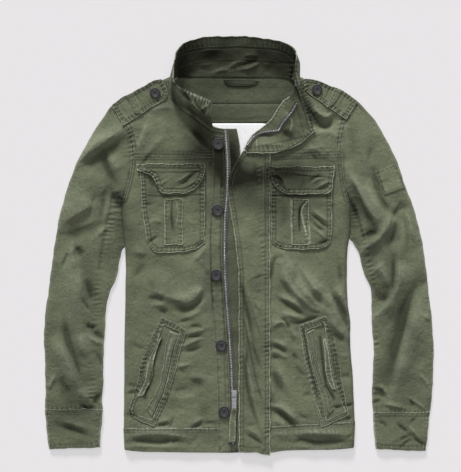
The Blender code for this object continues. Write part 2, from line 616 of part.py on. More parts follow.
def front_row(side, inner, outer, turned, shoulder, tilt, hem):
    """One row of a front, from its inner edge to its side or armhole."""
    spread = [0, 0.09, 0.18, 0.28, 0.38, 0.48, 0.58, 0.68, 0.78, 0.89, 1.0]
    length = math.dist(inner, outer)
    turn_share = SIDE_TURN / length
    row = []
    places = [(s * (1 - turn_share), 1.0) for s in spread]
    places += [(1 - turn_share * (1 - math.sin(a)), math.cos(a)) for a in (math.radians(35), math.radians(65))]
    places.append((1.0, 0.0))
    for share, stand in places:
        x, y = mix(inner[0], outer[0], share), mix(inner[1], outer[1], share)
        y += tilt * abs(x - inner[0]) + hem * (read(HEM_LINE, x) - HEM_Y)
        y += SHOULDER_BOW * (1 - shoulder) * math.sin(math.pi * share ** 0.8)
        z = mix(SHOULDER_TOP, front_top(x, y, side, turned), shoulder)
        z = mix(z, mix(SIDE_EDGE, z, stand), turned)
        row.append((x, y, z))
    return row


def front_grid(side):
    """Outer face of a whole front, with the row numbers of its hem band and yoke seams."""
    rows = []
    for y in body_row_heights():
        inner = (teeth_x(y) - 1.0, y) if side == RIGHT else (LEFT_FRONT_INNER, y)
        to_band = (BAND_Y - y) / (BAND_Y - HEM_Y)
        tilt = BAND_TILT[side] * smooth(1 - abs(y - BAND_Y) / 60)
        turned = 1 - 0.4 * smooth((y - 50) / 28)
        rows.append(front_row(side, inner, (side_x(side, y), y), turned, 1, tilt, smooth(to_band)))
    for neck in NECKS[side]:
        turned = 0.6 * smooth((neck.down - 0.8) / 0.2)
        shoulder = smooth(neck.down / 0.16)
        inner = (teeth_x(neck.y) - 1.0 if side == RIGHT and neck.y <= ZIP[-1].y else neck.x, neck.y)
        rows.append(front_row(side, inner, armhole(side, neck.down), turned, shoulder, 0, 0))
    yoke = len(body_row_heights()) + [neck.down for neck in NECKS[side]].index(YOKE_DOWN)
    return rows, 2, yoke


def build_fronts():
    armhole_rows = {}
    for side in (RIGHT, LEFT):
        outer, band, yoke = front_grid(side)
        normals = grid_normals(outer)
        if normals[4][4].z < 0:
            normals = [[-n for n in line] for line in normals]
        inner = moved(outer, normals, -CLOTH)
        hem_outer = moved(outer[:band + 1], normals[:band + 1], HEM_EXTRA)
        pieces = [
            ("hem_band_" + side, hem_outer, inner[:band + 1], 0, SEAM_GAP / 2, TWILL),
            ("front_" + side, outer[band:yoke + 1], inner[band:yoke + 1], SEAM_GAP / 2, SEAM_GAP / 2, TWILL),
            ("front_yoke_" + side, outer[yoke:], inner[yoke:], SEAM_GAP / 2, 0, TWILL),
        ]
        for name, top, under, first, last, finish in pieces:
            close_layers(name, part_rows(top, first, last), part_rows(under, first, last), finish)
        first_armhole_row = len(body_row_heights()) - 1
        armhole_rows[side] = [row[-1] for row in outer[first_armhole_row:]]
    return armhole_rows


def build_back():
    """Back panel and its hem band, flat on the table."""
    rows = []
    for y in (HEM_Y, (HEM_Y + BAND_Y) / 2, BAND_Y, *BACK_ROWS):
        to_band = smooth((BAND_Y - y) / (BAND_Y - HEM_Y))
        row = []
        for share in BACK_COLUMNS:
            x = mix(side_x(RIGHT, y), side_x(LEFT, y), share)
            row.append((x, y + to_band * (read(HEM_LINE, x) - HEM_Y)))
        rows.append(row)
    for down, rise in BACK_SHOULDER_ROWS:
        (x0, y0), (x1, y1) = armhole(RIGHT, down), armhole(LEFT, down)
        rows.append([(mix(x0, x1, share), mix(y0, y1, share) + rise * BACK_NECK_RISE * read(BACK_NECK, share))
                     for share in BACK_COLUMNS])
    for name, part, first, last, thickness in (
            ("hem_band_back", rows[:3], 0, SEAM_GAP / 2, CLOTH + HEM_EXTRA / 2),
            ("back_panel", rows[2:], SEAM_GAP / 2, 0, CLOTH)):
        under = part_rows([[(x, y, 0) for x, y in row] for row in part], first, last)
        close_layers(name, [[(x, y, thickness) for x, y, _ in row] for row in under], under, TWILL)


def build_neck_inside():
    """Facings, lining and hanger loop that show inside the back of the neck."""
    lay("back_facing_upper", edge_plan(BACK_FACING_UPPER, 8, 30), ["back_panel"], FACING_CLOTH, TWILL_INSIDE)
    lay("back_facing_lower", edge_plan(BACK_FACING_LOWER, 8, 30), ["back_panel"], FACING_CLOTH, TWILL_INSIDE)
    lay("back_lining", edge_plan(BACK_LINING, 4, 60), ["back_panel"], LINING_CLOTH, LINING)
    lay("hanger_loop", edge_plan(HANGER_LOOP, 6, 10), ["back_facing_upper"], LOOP_CLOTH, TWILL_INSIDE)


# ---------------------------------------------------------------- sleeves

def sleeve_plan(row, share):
    """Plan point across a sleeve, from its outer edge (0) to its inner edge (1)."""
    out_x, out_y, in_x, in_y, bow = row
    lean = bow * math.sin(math.pi * share ** ARMHOLE_SKEW)
    return mix(out_x, in_x, share) + lean, mix(out_y, in_y, share)


def sleeve_ring(row, shares, top, armhole_top, blend):
    """Ring of a sleeve: its upper face outwards in, then its flat underside back."""
    ring = []
    for i, share in enumerate(shares):
        x, y = sleeve_plan(row, share)
        rise = (1 - abs(2 * share - 1) ** 3.2) ** (1 / 2.4)
        z = mix(SLEEVE_EDGE, max(top + ripple(x, y) + fold_height(x, y), SLEEVE_LOWEST), rise)
        if blend < 1:
            root = max(armhole_top[i], SLEEVE_ROOT) if share < 1 else SLEEVE_ROOT
            z = mix(root, z, blend)
        ring.append((x, y, z))
    for share, lift in SLEEVE_UNDERSIDE:
        x, y = sleeve_plan(row, share)
        ring.append((x, y, lift * SLEEVE_EDGE))
    return ring


def build_sleeves(armhole_rows):
    for side in (RIGHT, LEFT):
        table = SLEEVES[side]
        shares = SLEEVE_SHARES
        armhole_top = [p[2] for p in reversed(armhole_rows[side])]
        outwards = -ARMHOLE_GAP if side == RIGHT else ARMHOLE_GAP
        rings, cuff_row = [], 0
        for i in range(len(table) - 1):
            a, b = table[i], table[i + 1]
            parts = max(1, math.ceil(math.dist((a.out_x, a.out_y), (b.out_x, b.out_y)) / SLEEVE_ROW_STEP)) if i else 1
            if i == CUFF_SEAM_ROW[side]:
                cuff_row = len(rings)
            for k in range(parts):
                at = i + k / parts
                top = mix(SLEEVE_TOP, CUFF_TOP, smooth((at - CUFF_SEAM_ROW[side] + 2) / 2))
                row = through(table, at)
                row[0] += outwards * max(0, 1 - at / 2)
                row[2] += outwards * max(0, 1 - at / 2)
                rings.append(sleeve_ring(row, shares, top, armhole_top, smooth(at / 1.6)))
        rings.append(sleeve_ring(table[-1], shares, CUFF_TOP, armhole_top, 1))
        inner = inset_rings(rings)
        pieces = [("sleeve_" + side, rings[:cuff_row + 1], inner[:cuff_row + 1], 0, SEAM_GAP / 2),
                  ("cuff_" + side, raised_cuff(rings[cuff_row:]), inner[cuff_row:], SEAM_GAP / 2, 0)]
        for name, outer, under, first, last in pieces:
            close_layers(name, part_rows(outer, first, last), part_rows(under, first, last), TWILL, wrap=True)


def edge_step(rings, r, side):
    """Step of one cloth thickness from a sleeve's folded edge into it, square to the edge's own line."""
    last = len(SLEEVE_SHARES) - 1
    edge = Vector(rings[min(r + 1, len(rings) - 1)][side]) - Vector(rings[max(r - 1, 0)][side])
    step = Vector((edge.y, -edge.x, 0)).normalized() * CLOTH
    across = Vector(rings[r][last]) - Vector(rings[r][0])
    return step if (step.dot(across) > 0) == (side == 0) else -step


def inset_rings(rings):
    """Inner face of a sleeve, one cloth thickness in from its outer face."""
    last = len(SLEEVE_SHARES) - 1
    inset = []
    for r, ring in enumerate(rings):
        across = Vector(ring[last]) - Vector(ring[0])
        along = Vector((across.y, -across.x, 0)).normalized()
        line = []
        for i, p in enumerate(ring):
            if i in (0, last):
                step = edge_step(rings, r, i) * (EDGE_MITRE if r else ARMPIT_MITRE)
                if r == 0 and i == last:
                    step.z = -ARMPIT_SINK
            else:
                before = (Vector(p) - Vector(ring[i - 1])).cross(along).normalized()
                after = (Vector(ring[(i + 1) % len(ring)]) - Vector(p)).cross(along).normalized()
                middle = (before + after).normalized()
                step = middle * CLOTH / max(middle.dot(after), 0.5)
                if r == 0 and i == last + 1:
                    step += edge_step(rings, r, last) * ARMPIT_MITRE
            line.append(tuple(Vector(p) + step))
        inset.append(line)
    return inset


def raised_cuff(rings):
    """Cuff rings, thicker on their upper face by the turned cloth."""
    return [[(x, y, z + HEM_EXTRA * smooth(z / SLEEVE_EDGE)) for x, y, z in ring] for ring in rings]


# ---------------------------------------------------------------- front closure

def build_closure():
    """Zip guard, tapes, button band and storm flap."""
    heights = body_row_heights() + [neck.y for neck in NECKS[RIGHT] if neck.y < ZIP[-1].y]
    guard_top = []
    for y in heights:
        right = read(GUARD_RIGHT, smooth((y - GUARD_TURN) / 24)) - GUARD_SLANT * smooth((y - GUARD_TURN - 2) / 24)
        left = teeth_x(y) - 1.0 + 2 * SEAM_GAP
        guard_top.append([(x, y, front_top(x, y, RIGHT, 0)) for x in (left, mix(left, right, 0.5), right)])
    guard_under = [[(x, y, z - CLOTH) for x, y, z in row] for row in guard_top]
    close_layers("zip_guard", guard_top, guard_under, TWILL_INSIDE)

    right_pile = ["front_right", "front_yoke_right", "hem_band_right", "zip_guard"]
    tape = [Edge(teeth_x(y) + TAPE_RIGHT[0], y, teeth_x(y) + TAPE_RIGHT[1], y) for y in heights]
    lay("zip_tape_right", edge_plan(tape, 1, 40), right_pile, TAPE_CLOTH, ZIP_TAPE)
    band = [Edge(teeth_x(y) + BUTTON_BAND[0], y, teeth_x(y) + BUTTON_BAND[1], y) for y in heights[:-1]]
    lay("button_band", edge_plan(band, 3, 40), right_pile, BAND_CLOTH, TWILL)

    left_pile = ["front_left", "front_yoke_left", "hem_band_left", "zip_guard"]
    lower_tape = [Edge(TAPE_LEFT[0], y, TAPE_LEFT[1], y) for y in heights if y < TAPE_LEFT_TOP]
    lay("zip_tape_left_lower", edge_plan(lower_tape, 1, 40), left_pile[:3], TAPE_CLOTH, ZIP_TAPE)

    flap_rows = [HEM_Y - 1 + i * (FLAP_TOP - HEM_Y) / FLAP_ROWS for i in range(FLAP_ROWS + 1)]
    flap = [Edge(flap_edge_x(y), y, FLAP_SEAM_X, y) for y in flap_rows]
    flap_plan = edge_plan(flap, 5, 40)
    flap_plan[0] = [(x, y - 5 * smooth((x - 38) / 10)) for x, y in flap_plan[0]]
    lay("storm_flap", flap_plan, left_pile + ["zip_tape_left_lower", "zip_tape_right"], FLAP_CLOTH, TWILL)


# ---------------------------------------------------------------- collar

def build_collar():
    """Stand collar as one wall, swept from the right front end to the opened left leaf."""
    inner = []
    rows = len(COLLAR)
    for r, row in enumerate(COLLAR):
        before, after = COLLAR[max(r - 1, 0)], COLLAR[min(r + 1, rows - 1)]
        seam = Vector((row.seam_x, row.seam_y, row.seam_z))
        top = Vector((row.top_x, row.top_y, row.top_z))
        along = Vector((after.seam_x + after.top_x - before.seam_x - before.top_x,
                        after.seam_y + after.top_y - before.seam_y - before.top_y, 0))
        outwards = (top - seam).cross(along).normalized()
        line = []
        for c in range(COLLAR_COLUMNS):
            t = c / (COLLAR_COLUMNS - 1)
            line.append(tuple(seam.lerp(top, t) + outwards * row.bulge * math.sin(math.pi * t)))
        inner.append(line)
    normals = grid_normals(inner)
    if normals[12][2].z > 0:
        normals = [[-n for n in line] for line in normals]
    outer = moved(inner, normals, COLLAR_CLOTH)
    height = height_over(["front_left", "front_yoke_left", "storm_flap", "zip_guard", "strap_left"])
    leaf = [list(row) for row in outer[LEAF_FIRST_ROW:]]
    settled = settle([list(row) for row in leaf], height, GAP)
    for r, row in enumerate(settled):
        for c, p in enumerate(row):
            rise = p[2] - leaf[r][c][2]
            x, y, z = inner[LEAF_FIRST_ROW + r][c]
            inner[LEAF_FIRST_ROW + r][c] = (x, y, z + rise)
            outer[LEAF_FIRST_ROW + r][c] = p
    close_layers("collar", inner, outer, TWILL)

    lay("zip_tape_left", edge_plan(LEAF_TAPE, 2, 12), ["collar"], LEAF_TAPE_CLOTH, ZIP_TAPE)


# ---------------------------------------------------------------- pockets, straps, patch

def build_pockets():
    for side in (RIGHT, LEFT):
        front, yoke = "front_" + side, "front_yoke_" + side
        pocket, pleat = "chest_pocket_" + side, "pocket_pleat_" + side
        lay(pocket, row_plan(CHEST_POCKETS[side], 6, 20), [front], 1.8, TWILL, stiffness=3)
        x0, x1 = PLEATS[side]
        y0, y1 = PLEAT_SPAN
        rows = [Row(y0, x0, x1), Row(y1, x0, x1)]
        lay(pleat, row_plan(rows, 2, 16), [pocket], 1.3, TWILL)
        under_flap = [front, yoke, pocket, pleat] + (["storm_flap"] if side == LEFT else [])
        lay("pocket_flap_" + side, row_plan(POCKET_FLAPS[side], 7, 14), under_flap, 2.2, TWILL)

        frame = HIP_FRAMES[side]
        ring = [[(e.x0, e.y0) for e in frame], [(e.x1, e.y1) for e in frame]]
        welt, liner = "hip_welt_" + side, "hip_liner_" + side
        lay(welt, edge_plan(HIP_WELTS[side], 2, 22), [front], 1.6, TWILL)
        lay(liner, edge_plan(HIP_LINERS[side], 1, 22), [front], 1.0, TWILL_PALE)
        lay("hip_frame_" + side, ring, [front, "hem_band_" + side, welt, liner], 1.0, TWILL, wrap=True, stiffness=0)


def build_straps():
    for side in (RIGHT, LEFT):
        strap, loop = "strap_" + side, "strap_loop_" + side
        over = ["front_yoke_" + side, "sleeve_" + side]
        lay(strap, edge_plan(STRAPS[side], 3, 14), over, 2.2, TWILL_PALE)
        lay(loop, edge_plan(STRAP_LOOPS[side], 2, 10), over + [strap], 1.4, TWILL_PALE)
    patch = edge_plan(SLEEVE_PATCH, 4, 12)
    lay("sleeve_patch", patch, ["sleeve_left"], 1.2, TWILL_PALE)


# ---------------------------------------------------------------- buttons and zip metal

def turned_button(name, x, y, radius, over):
    """Turned button with a raised rim and a dished middle, resting on the cloth below it."""
    height = height_over(over)
    reach = [height(x + radius * r * math.cos(a), y + radius * r * math.sin(a))
             for r in (0, 0.5, 0.95) for a in (i * math.tau / 12 for i in range(12))]
    base = max(h for h in reach if h is not None) + GAP
    thick = BUTTON_THICK
    profile = [(0, 0), (radius * 0.88, 0), (radius, thick * 0.45), (radius * 0.9, thick),
               (radius * 0.74, thick * 0.92), (radius * 0.62, thick * 0.55), (0, thick * 0.5)]
    points, faces = [], []
    for px, pz in profile:
        if px == 0:
            points.append((x, y, base + pz))
        else:
            points += [(x + px * math.cos(a), y + px * math.sin(a), base + pz)
                       for a in (i * math.tau / BUTTON_SIDES for i in range(BUTTON_SIDES))]
    last = len(points) - 1
    rings = len(profile) - 2
    for i in range(BUTTON_SIDES):
        j = (i + 1) % BUTTON_SIDES
        faces.append((0, 1 + j, 1 + i))
        for k in range(rings - 1):
            a, b = 1 + k * BUTTON_SIDES, 1 + (k + 1) * BUTTON_SIDES
            faces.append((a + i, a + j, b + j, b + i))
        top = 1 + (rings - 1) * BUTTON_SIDES
        faces.append((top + i, top + j, last))
    solids[name] = (points, faces)
    add_object(name, points, faces, BUTTON)


def build_buttons():
    for i, (x, y) in enumerate(FRONT_BUTTONS, 1):
        over = ["button_band", "front_right", "front_yoke_right", "hem_band_right", "zip_tape_right"]
        turned_button(f"button_{i}", x, y, BUTTON_RADIUS, over)
    for side in (RIGHT, LEFT):
        x, y = STRAP_BUTTONS[side]
        turned_button("strap_button_" + side, x, y, STRAP_BUTTON_RADIUS, ["strap_" + side, "front_yoke_" + side])


def box_corners(low, high):
    """Points and faces of a box."""
    points = [(x, y, z) for z in (low[2], high[2]) for y in (low[1], high[1]) for x in (low[0], high[0])]
    faces = [(0, 2, 3, 1), (4, 5, 7, 6), (0, 1, 5, 4), (2, 6, 7, 3), (0, 4, 6, 2), (1, 3, 7, 5)]
    return points, faces


def joined_boxes(name, boxes, finish, bevel, origin=(0, 0, 0)):
    """One solid made of overlapping boxes, given as low and high corners."""
    parts = []
    for i, (low, high) in enumerate(boxes):
        points, faces = box_corners(low, high)
        parts.append(add_object(name if i == 0 else f"{name}_part_{i}", points, faces, finish, origin))
    body = parts[0]
    for part in parts[1:]:
        cut = body.modifiers.new("join", "BOOLEAN")
        cut.operation = "UNION"
        cut.object = part
        part.hide_render = True
        part.display_type = "WIRE"
    rounded = body.modifiers.new("round", "BEVEL")
    rounded.width = bevel * MM
    rounded.segments = 1
    rounded.limit_method = "ANGLE"
    return body


def build_slider():
    """Slider on the zip, and the pull that turns on the bar under its bridge."""
    height = height_over(["zip_tape_right", "zip_guard", "front_right"])
    x, y = SLIDER_X, SLIDER_Y
    width, length, thick = SLIDER_SIZE
    under = [height(x + i * width / 2, y + j * length / 2) for i in (-1, 0, 1) for j in (-1, 0, 1)]
    base = max(h for h in under if h is not None) + GAP
    top = base + thick
    bridge_width, bridge_length, bridge_high = BRIDGE_SIZE
    slider = [((x - width / 2, y - length / 2, base), (x + width / 2, y + length / 2, top))]
    for end in (-1, 1):
        outer, inner = end * bridge_length / 2, end * (bridge_length / 2 - BRIDGE_WALL)
        slider.append(((x - bridge_width / 2, y + min(outer, inner), top - BRIDGE_SINK),
                       (x + bridge_width / 2, y + max(outer, inner), top + bridge_high)))
    slider.append(((x - bridge_width / 2, y - bridge_length / 2, top + bridge_high - BRIDGE_WALL),
                   (x + bridge_width / 2, y + bridge_length / 2, top + bridge_high)))
    joined_boxes("zip_slider", slider, NICKEL, NICKEL_BEVEL)

    axis = (x, y - bridge_length / 2 + BRIDGE_WALL + PULL_BAR, top + (bridge_high - BRIDGE_WALL) / 2)
    eye_width, eye_reach = PULL_EYE
    half, bar = PULL_BAR / 2, PULL_BAR / 2
    side_in, side_out = eye_width / 2, eye_width / 2 + PULL_BAR
    low, high = axis[2] - PULL_THICK / 2, axis[2] + PULL_THICK / 2
    pull = [((x - side_out, axis[1] - bar, low), (x + side_out, axis[1] + bar, high))]
    for sign in (-1, 1):
        a, b = sorted((sign * side_in, sign * side_out))
        pull.append(((x + a, axis[1] - eye_reach - 1, low), (x + b, axis[1] + half, high)))
    pull.append(((x - PULL_WIDTH / 2, axis[1] - PULL_LENGTH, low), (x + PULL_WIDTH / 2, axis[1] - eye_reach, high)))
    joined_boxes("zip_pull", pull, NICKEL, NICKEL_BEVEL, origin=axis)

    strip_top = axis[1] - PULL_LENGTH - GAP
    rows = [Edge(x + row.x0, strip_top + row.y, x + row.x1, strip_top + row.y) for row in STRIP_ROWS]
    rows.append(Edge(x + STRIP_END_X, TAPE_PULL_END, x + STRIP_END_X + TAPE_PULL_WIDTH, TAPE_PULL_END))
    plan = edge_plan(rows, 2, 9)
    over = ["zip_tape_right", "zip_guard", "front_right", "hem_band_right", "button_band", "button_5", "storm_flap"]
    ground = drape(plan, over, stiffness=0)
    hang = [[(px, py, max(pz, mix(low, 0, smooth((strip_top - py) / STRIP_FALL)))) for px, py, pz in row]
            for row in ground]
    under_strip = settle(hang, height_over(over), GAP)
    top_strip = [[(px, py, pz + STRIP_CLOTH) for px, py, pz in row] for row in under_strip]
    close_layers("zip_pull_strip", top_strip, under_strip, TWILL_PALE, origin=axis)
    print("zip pull axis, mm:", [round(v - m, 3) for v, m in zip(axis, MIDDLE)])


def main():
    for item in list(bpy.data.objects):
        bpy.data.objects.remove(item, do_unlink=True)
    build_back()
    build_neck_inside()
    build_sleeves(build_fronts())
    build_closure()
    build_pockets()
    build_straps()
    build_collar()
    build_buttons()
    build_slider()


main()
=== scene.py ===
import math

import bmesh
import bpy
import numpy as np
from mathutils import Matrix, Vector
from mathutils.bvhtree import BVHTree


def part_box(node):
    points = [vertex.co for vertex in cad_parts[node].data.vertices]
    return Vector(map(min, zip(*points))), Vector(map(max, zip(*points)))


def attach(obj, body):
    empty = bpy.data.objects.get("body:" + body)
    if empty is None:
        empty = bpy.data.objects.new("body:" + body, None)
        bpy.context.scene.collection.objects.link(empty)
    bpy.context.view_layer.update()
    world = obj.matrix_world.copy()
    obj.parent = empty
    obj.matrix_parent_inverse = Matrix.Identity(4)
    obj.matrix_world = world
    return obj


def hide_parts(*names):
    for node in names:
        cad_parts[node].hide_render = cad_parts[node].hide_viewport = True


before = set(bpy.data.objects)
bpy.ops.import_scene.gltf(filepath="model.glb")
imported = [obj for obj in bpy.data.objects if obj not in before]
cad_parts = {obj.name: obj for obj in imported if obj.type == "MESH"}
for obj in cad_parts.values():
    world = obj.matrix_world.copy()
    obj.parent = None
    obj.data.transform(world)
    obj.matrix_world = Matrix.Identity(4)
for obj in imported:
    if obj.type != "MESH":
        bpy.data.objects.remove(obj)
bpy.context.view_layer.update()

# Washed olive field jacket, laid on a pale floor and seen from straight above.
# X runs to the wearer's left, Y to the collar, Z up. Tables are in millimetres,
# and the points of a line stand in them as x, y, x, y.

mm = 0.001
up = Vector((0, 0, 1))
scene = bpy.context.scene


# materials

waveSpacing = 0.31416        # between the bands of a wave texture, in metres at a scale of 1


def linearColour(hexCode):
    parts = [int(hexCode[i:i + 2], 16) / 255 for i in (1, 3, 5)]
    return (*[c / 12.92 if c <= 0.04045 else ((c + 0.055) / 1.055) ** 2.4 for c in parts], 1)


# settings are a node's properties, or a ramp's stops; links are its sockets' values,
# or the outputs that feed them
def addNode(tree, kind, settings=None, **links):
    node = tree.nodes.new("ShaderNode" + kind)
    for name, value in (settings or {}).items():
        if name == "stops":
            for stop, (position, hexCode) in zip(node.color_ramp.elements, value):
                stop.position, stop.color = position, linearColour(hexCode)
        else:
            setattr(node, name, value)
    for name, value in links.items():
        socket = node.inputs[int(name[2:])] if name.startswith("in") else node.inputs[name.replace("_", " ")]
        if isinstance(value, bpy.types.NodeSocket):
            tree.links.new(value, socket)
        else:
            socket.default_value = value
    return node


# a material, its node tree, its shader and the Object coordinates that its patterns read
def startMaterial(name, shaderSettings):
    material = bpy.data.materials.new(name)
    material.use_nodes = True
    tree = material.node_tree
    shader = tree.nodes["Principled BSDF"]
    for socket, value in shaderSettings.items():
        shader.inputs[socket].default_value = value
    return material, tree, shader, addNode(tree, "TexCoord").outputs["Object"]


def twillMaterial(name, mid, dark, pale):
    # Cotton twill, sewn and then garment-washed: matt, mottled, pale where seams and edges are rubbed, with
    # painted highlight on the tops of folds and puckers and painted shade from the shade attribute
    material, tree, shader, place = startMaterial(name, {
        "Roughness": 0.92, "Sheen Weight": 0.08, "Sheen Roughness": 0.5, "Specular IOR Level": 0.2})
    # twill lines are 0.7 mm apart, drawn 1.6 mm apart so that they show
    turned = addNode(tree, "Mapping", Vector=place, Rotation=(0, 0, math.radians(-27))).outputs[0]
    lines = addNode(tree, "TexWave", {"wave_type": "BANDS", "bands_direction": "X"}, Vector=turned,
                    Scale=waveSpacing / 0.0016, Distortion=1.2, Detail=1.0, Detail_Scale=3.0).outputs["Fac"]
    # uneven yarn, patches of the wash, crinkles and rubbed spots, each at its own size in metres
    slub, patch, crinkle, rubbing = (
        addNode(tree, "TexNoise", Vector=place, Scale=1 / size, Detail=detail, Roughness=roughness,
                Distortion=distortion).outputs["Fac"]
        for size, detail, roughness, distortion in (
            (0.0045, 3.0, 0.6, 0), (0.045, 3.0, 0.55, 0), (0.011, 4.0, 0.6, 0.7), (0.0055, 2.0, 0.7, 0)))
    wearAndHighlight, shade = (addNode(tree, "Attribute", {"attribute_name": name}).outputs["Fac"]
                   for name in ("wearAndHighlight", "shade"))

    tone = -0.3
    for pattern, share in ((slub, 0.6), (patch, 0.7), (lines, 0.14)):
        tone = addNode(tree, "Math", {"operation": "MULTIPLY_ADD"}, in0=pattern, in1=share,
                       in2=tone).outputs[0]
    colour = addNode(tree, "ValToRGB", {"stops": ((0.12, dark), (0.80, mid))}, Fac=tone).outputs[0]
    spots = addNode(tree, "MapRange", Value=rubbing, From_Min=0.40, From_Max=0.58, To_Min=0.4,
                    To_Max=1.0).outputs[0]
    wornAndLit = addNode(tree, "Math", {"operation": "MULTIPLY", "use_clamp": True}, in0=wearAndHighlight, in1=spots).outputs[0]
    # pale where the cloth is worn, and painted highlight where fold and pucker tops are lifted
    paled = addNode(tree, "Mix", {"data_type": "RGBA"}, in0=wornAndLit, in6=colour,
                    in7=linearColour(pale)).outputs[2]
    # painted shade: the shade attribute darkens the colour
    shaded = addNode(tree, "Mix", {"data_type": "RGBA", "blend_type": "MULTIPLY"}, in0=shade, in6=paled,
                     in7=linearColour("#4A4B40")).outputs[2]
    tree.links.new(shaded, shader.inputs["Base Color"])

    relief = addNode(tree, "Math", {"operation": "MULTIPLY_ADD"}, in0=lines, in1=0.25, in2=slub).outputs[0]
    fine = addNode(tree, "Bump", Strength=0.5, Distance=0.0005, Height=relief).outputs[0]
    rough = addNode(tree, "Bump", Strength=0.75, Distance=0.0026, Height=crinkle, Normal=fine).outputs[0]
    tree.links.new(rough, shader.inputs["Normal"])
    return material


def plainWoven(name, mid, dark, spacing, roughness=0.85):
    # Plain-woven cloth or tape: matt, with fine crossing threads
    material, tree, shader, place = startMaterial(name, {"Roughness": roughness, "Specular IOR Level": 0.3})
    across, along = (addNode(tree, "TexWave", {"bands_direction": axis}, Vector=place,
                             Scale=waveSpacing / spacing).outputs["Fac"] for axis in "XY")
    threads = addNode(tree, "Math", {"operation": "MULTIPLY"}, in0=across, in1=along).outputs[0]
    slub = addNode(tree, "TexNoise", Vector=place, Scale=1 / 0.006, Detail=3.0).outputs["Fac"]
    tone = addNode(tree, "Math", {"operation": "MULTIPLY_ADD"}, in0=threads, in1=0.4, in2=slub).outputs[0]
    colour = addNode(tree, "ValToRGB", {"stops": ((0.3, dark), (0.8, mid))}, Fac=tone).outputs[0]
    tree.links.new(colour, shader.inputs["Base Color"])
    bump = addNode(tree, "Bump", Strength=0.4, Distance=0.0004, Height=tone).outputs[0]
    tree.links.new(bump, shader.inputs["Normal"])
    return material


def mouldedButton():
    # Polyester button, cast and turned, charcoal: a satin shell, with painted highlight pale on the edges of
    # its rings
    material, tree, shader, place = startMaterial("charcoal polyester button, turned", {
        "Roughness": 0.5, "IOR": 1.5, "Specular IOR Level": 0.35})
    swirl = addNode(tree, "TexNoise", Vector=place, Scale=1 / 0.004, Detail=2.0,
                    Distortion=1.5).outputs["Fac"]
    # the rubbed attribute carries painted highlight on the ridges of the rings
    rubbed = addNode(tree, "Attribute", {"attribute_name": "rubbed"}).outputs["Fac"]
    colour = addNode(tree, "ValToRGB", {"stops": ((0.3, "#101012"), (0.75, "#222125"))}, Fac=swirl).outputs[0]
    ringed = addNode(tree, "Mix", {"data_type": "RGBA"}, in0=rubbed, in6=colour,
                     in7=linearColour("#6E6D70")).outputs[2]
    tree.links.new(ringed, shader.inputs["Base Color"])
    bump = addNode(tree, "Bump", Strength=0.15, Distance=0.0003, Height=swirl).outputs[0]
    tree.links.new(bump, shader.inputs["Normal"])
    return material


def castNickel():
    # Brass casting plated with nickel and tumbled: grey metal, brighter where it is rubbed
    material, tree, shader, place = startMaterial("nickel-plated brass, tumbled", {"Metallic": 1.0})
    stain = addNode(tree, "TexNoise", Vector=place, Scale=1 / 0.003, Detail=4.0).outputs["Fac"]
    colour = addNode(tree, "ValToRGB", {"stops": ((0.3, "#8C8B8E"), (0.7, "#D0CFD1"))}, Fac=stain).outputs[0]
    tree.links.new(colour, shader.inputs["Base Color"])
    rough = addNode(tree, "MapRange", Value=stain, To_Min=0.5, To_Max=0.28).outputs[0]
    tree.links.new(rough, shader.inputs["Roughness"])
    return material


def sewingThread():
    # Spun sewing thread, dyed with the cloth: matt, twisted, and darker than the cloth all over, partly its
    # own tone and partly painted shade of the sunken rows
    material, tree, shader, place = startMaterial("olive sewing thread, spun",
                                                  {"Roughness": 0.8, "Sheen Weight": 0.2})
    tone = addNode(tree, "TexNoise", Vector=place, Scale=1 / 0.02, Detail=2.0).outputs["Fac"]
    colour = addNode(tree, "ValToRGB", {"stops": ((0.3, "#4A4E40"), (0.7, "#666B59"))}, Fac=tone).outputs[0]
    tree.links.new(colour, shader.inputs["Base Color"])
    return material


oliveTwill = twillMaterial("olive cotton twill, garment washed", "#7B8166", "#5A5F4E", "#C4C8B4")
# a darker copy of the twill: painted shade of the inner pieces under the collar and of the zip guard under
# the storm flap
shadedTwill = twillMaterial("olive cotton twill, darkened with painted shade", "#666C56", "#4A4F40", "#8A8F7C")
liningCloth = plainWoven("white cotton lining, plain woven", "#F4F4F4", "#E6E6E8", 0.0016)
zipTapeCloth = plainWoven("grey polyester zip tape, woven", "#54544C", "#3A3B35", 0.0018, 0.7)
buttonFinish = mouldedButton()
nickel = castNickel()
thread = sewingThread()
print("materials ready")


# lines and waves

def pairs(line):
    return list(zip(line[::2], line[1::2]))


# signed distance of plan points from a line (left of it above zero), how far along it they are, its length
def lineDistance(x, y, points):
    best = np.full(x.shape, 1e9)
    signed = np.zeros(x.shape)
    along = np.zeros(x.shape)
    start = 0.0
    for (x0, y0), (x1, y1) in zip(points, points[1:]):
        dx, dy = x1 - x0, y1 - y0
        length = math.hypot(dx, dy)
        if length < 1e-6:
            continue
        t = np.clip(((x - x0) * dx + (y - y0) * dy) / length ** 2, 0, 1)
        ox, oy = x - x0 - t * dx, y - y0 - t * dy
        distance = np.hypot(ox, oy)
        nearer = distance < best
        best = np.where(nearer, distance, best)
        signed = np.where(nearer, np.sign(dx * oy - dy * ox) * distance, signed)
        along = np.where(nearer, start + t * length, along)
        start += length
    return signed, along, start


def smoothStep(t):
    t = np.clip(t, 0, 1)
    return t * t * (3 - 2 * t)


def nearLine(x, y, points, reach):
    xs, ys = zip(*points)
    return (x > min(xs) - reach) & (x < max(xs) + reach) & (y > min(ys) - reach) & (y < max(ys) + reach)


# a line with its corners cut, so that it runs in a curve
def softLine(points):
    cut = [points[0]]
    for (x0, y0), (x1, y1) in zip(points, points[1:]):
        for share in (0.25, 0.75):
            cut.append(((1 - share) * x0 + share * x1, (1 - share) * y0 + share * y1))
    return cut + [points[-1]]


# a sum of waves along a distance: (height, distance on which the phase grows by 1, phase)
def ripples(along, *waves):
    return sum(height * np.sin(along / distance + phase) for height, distance, phase in waves)
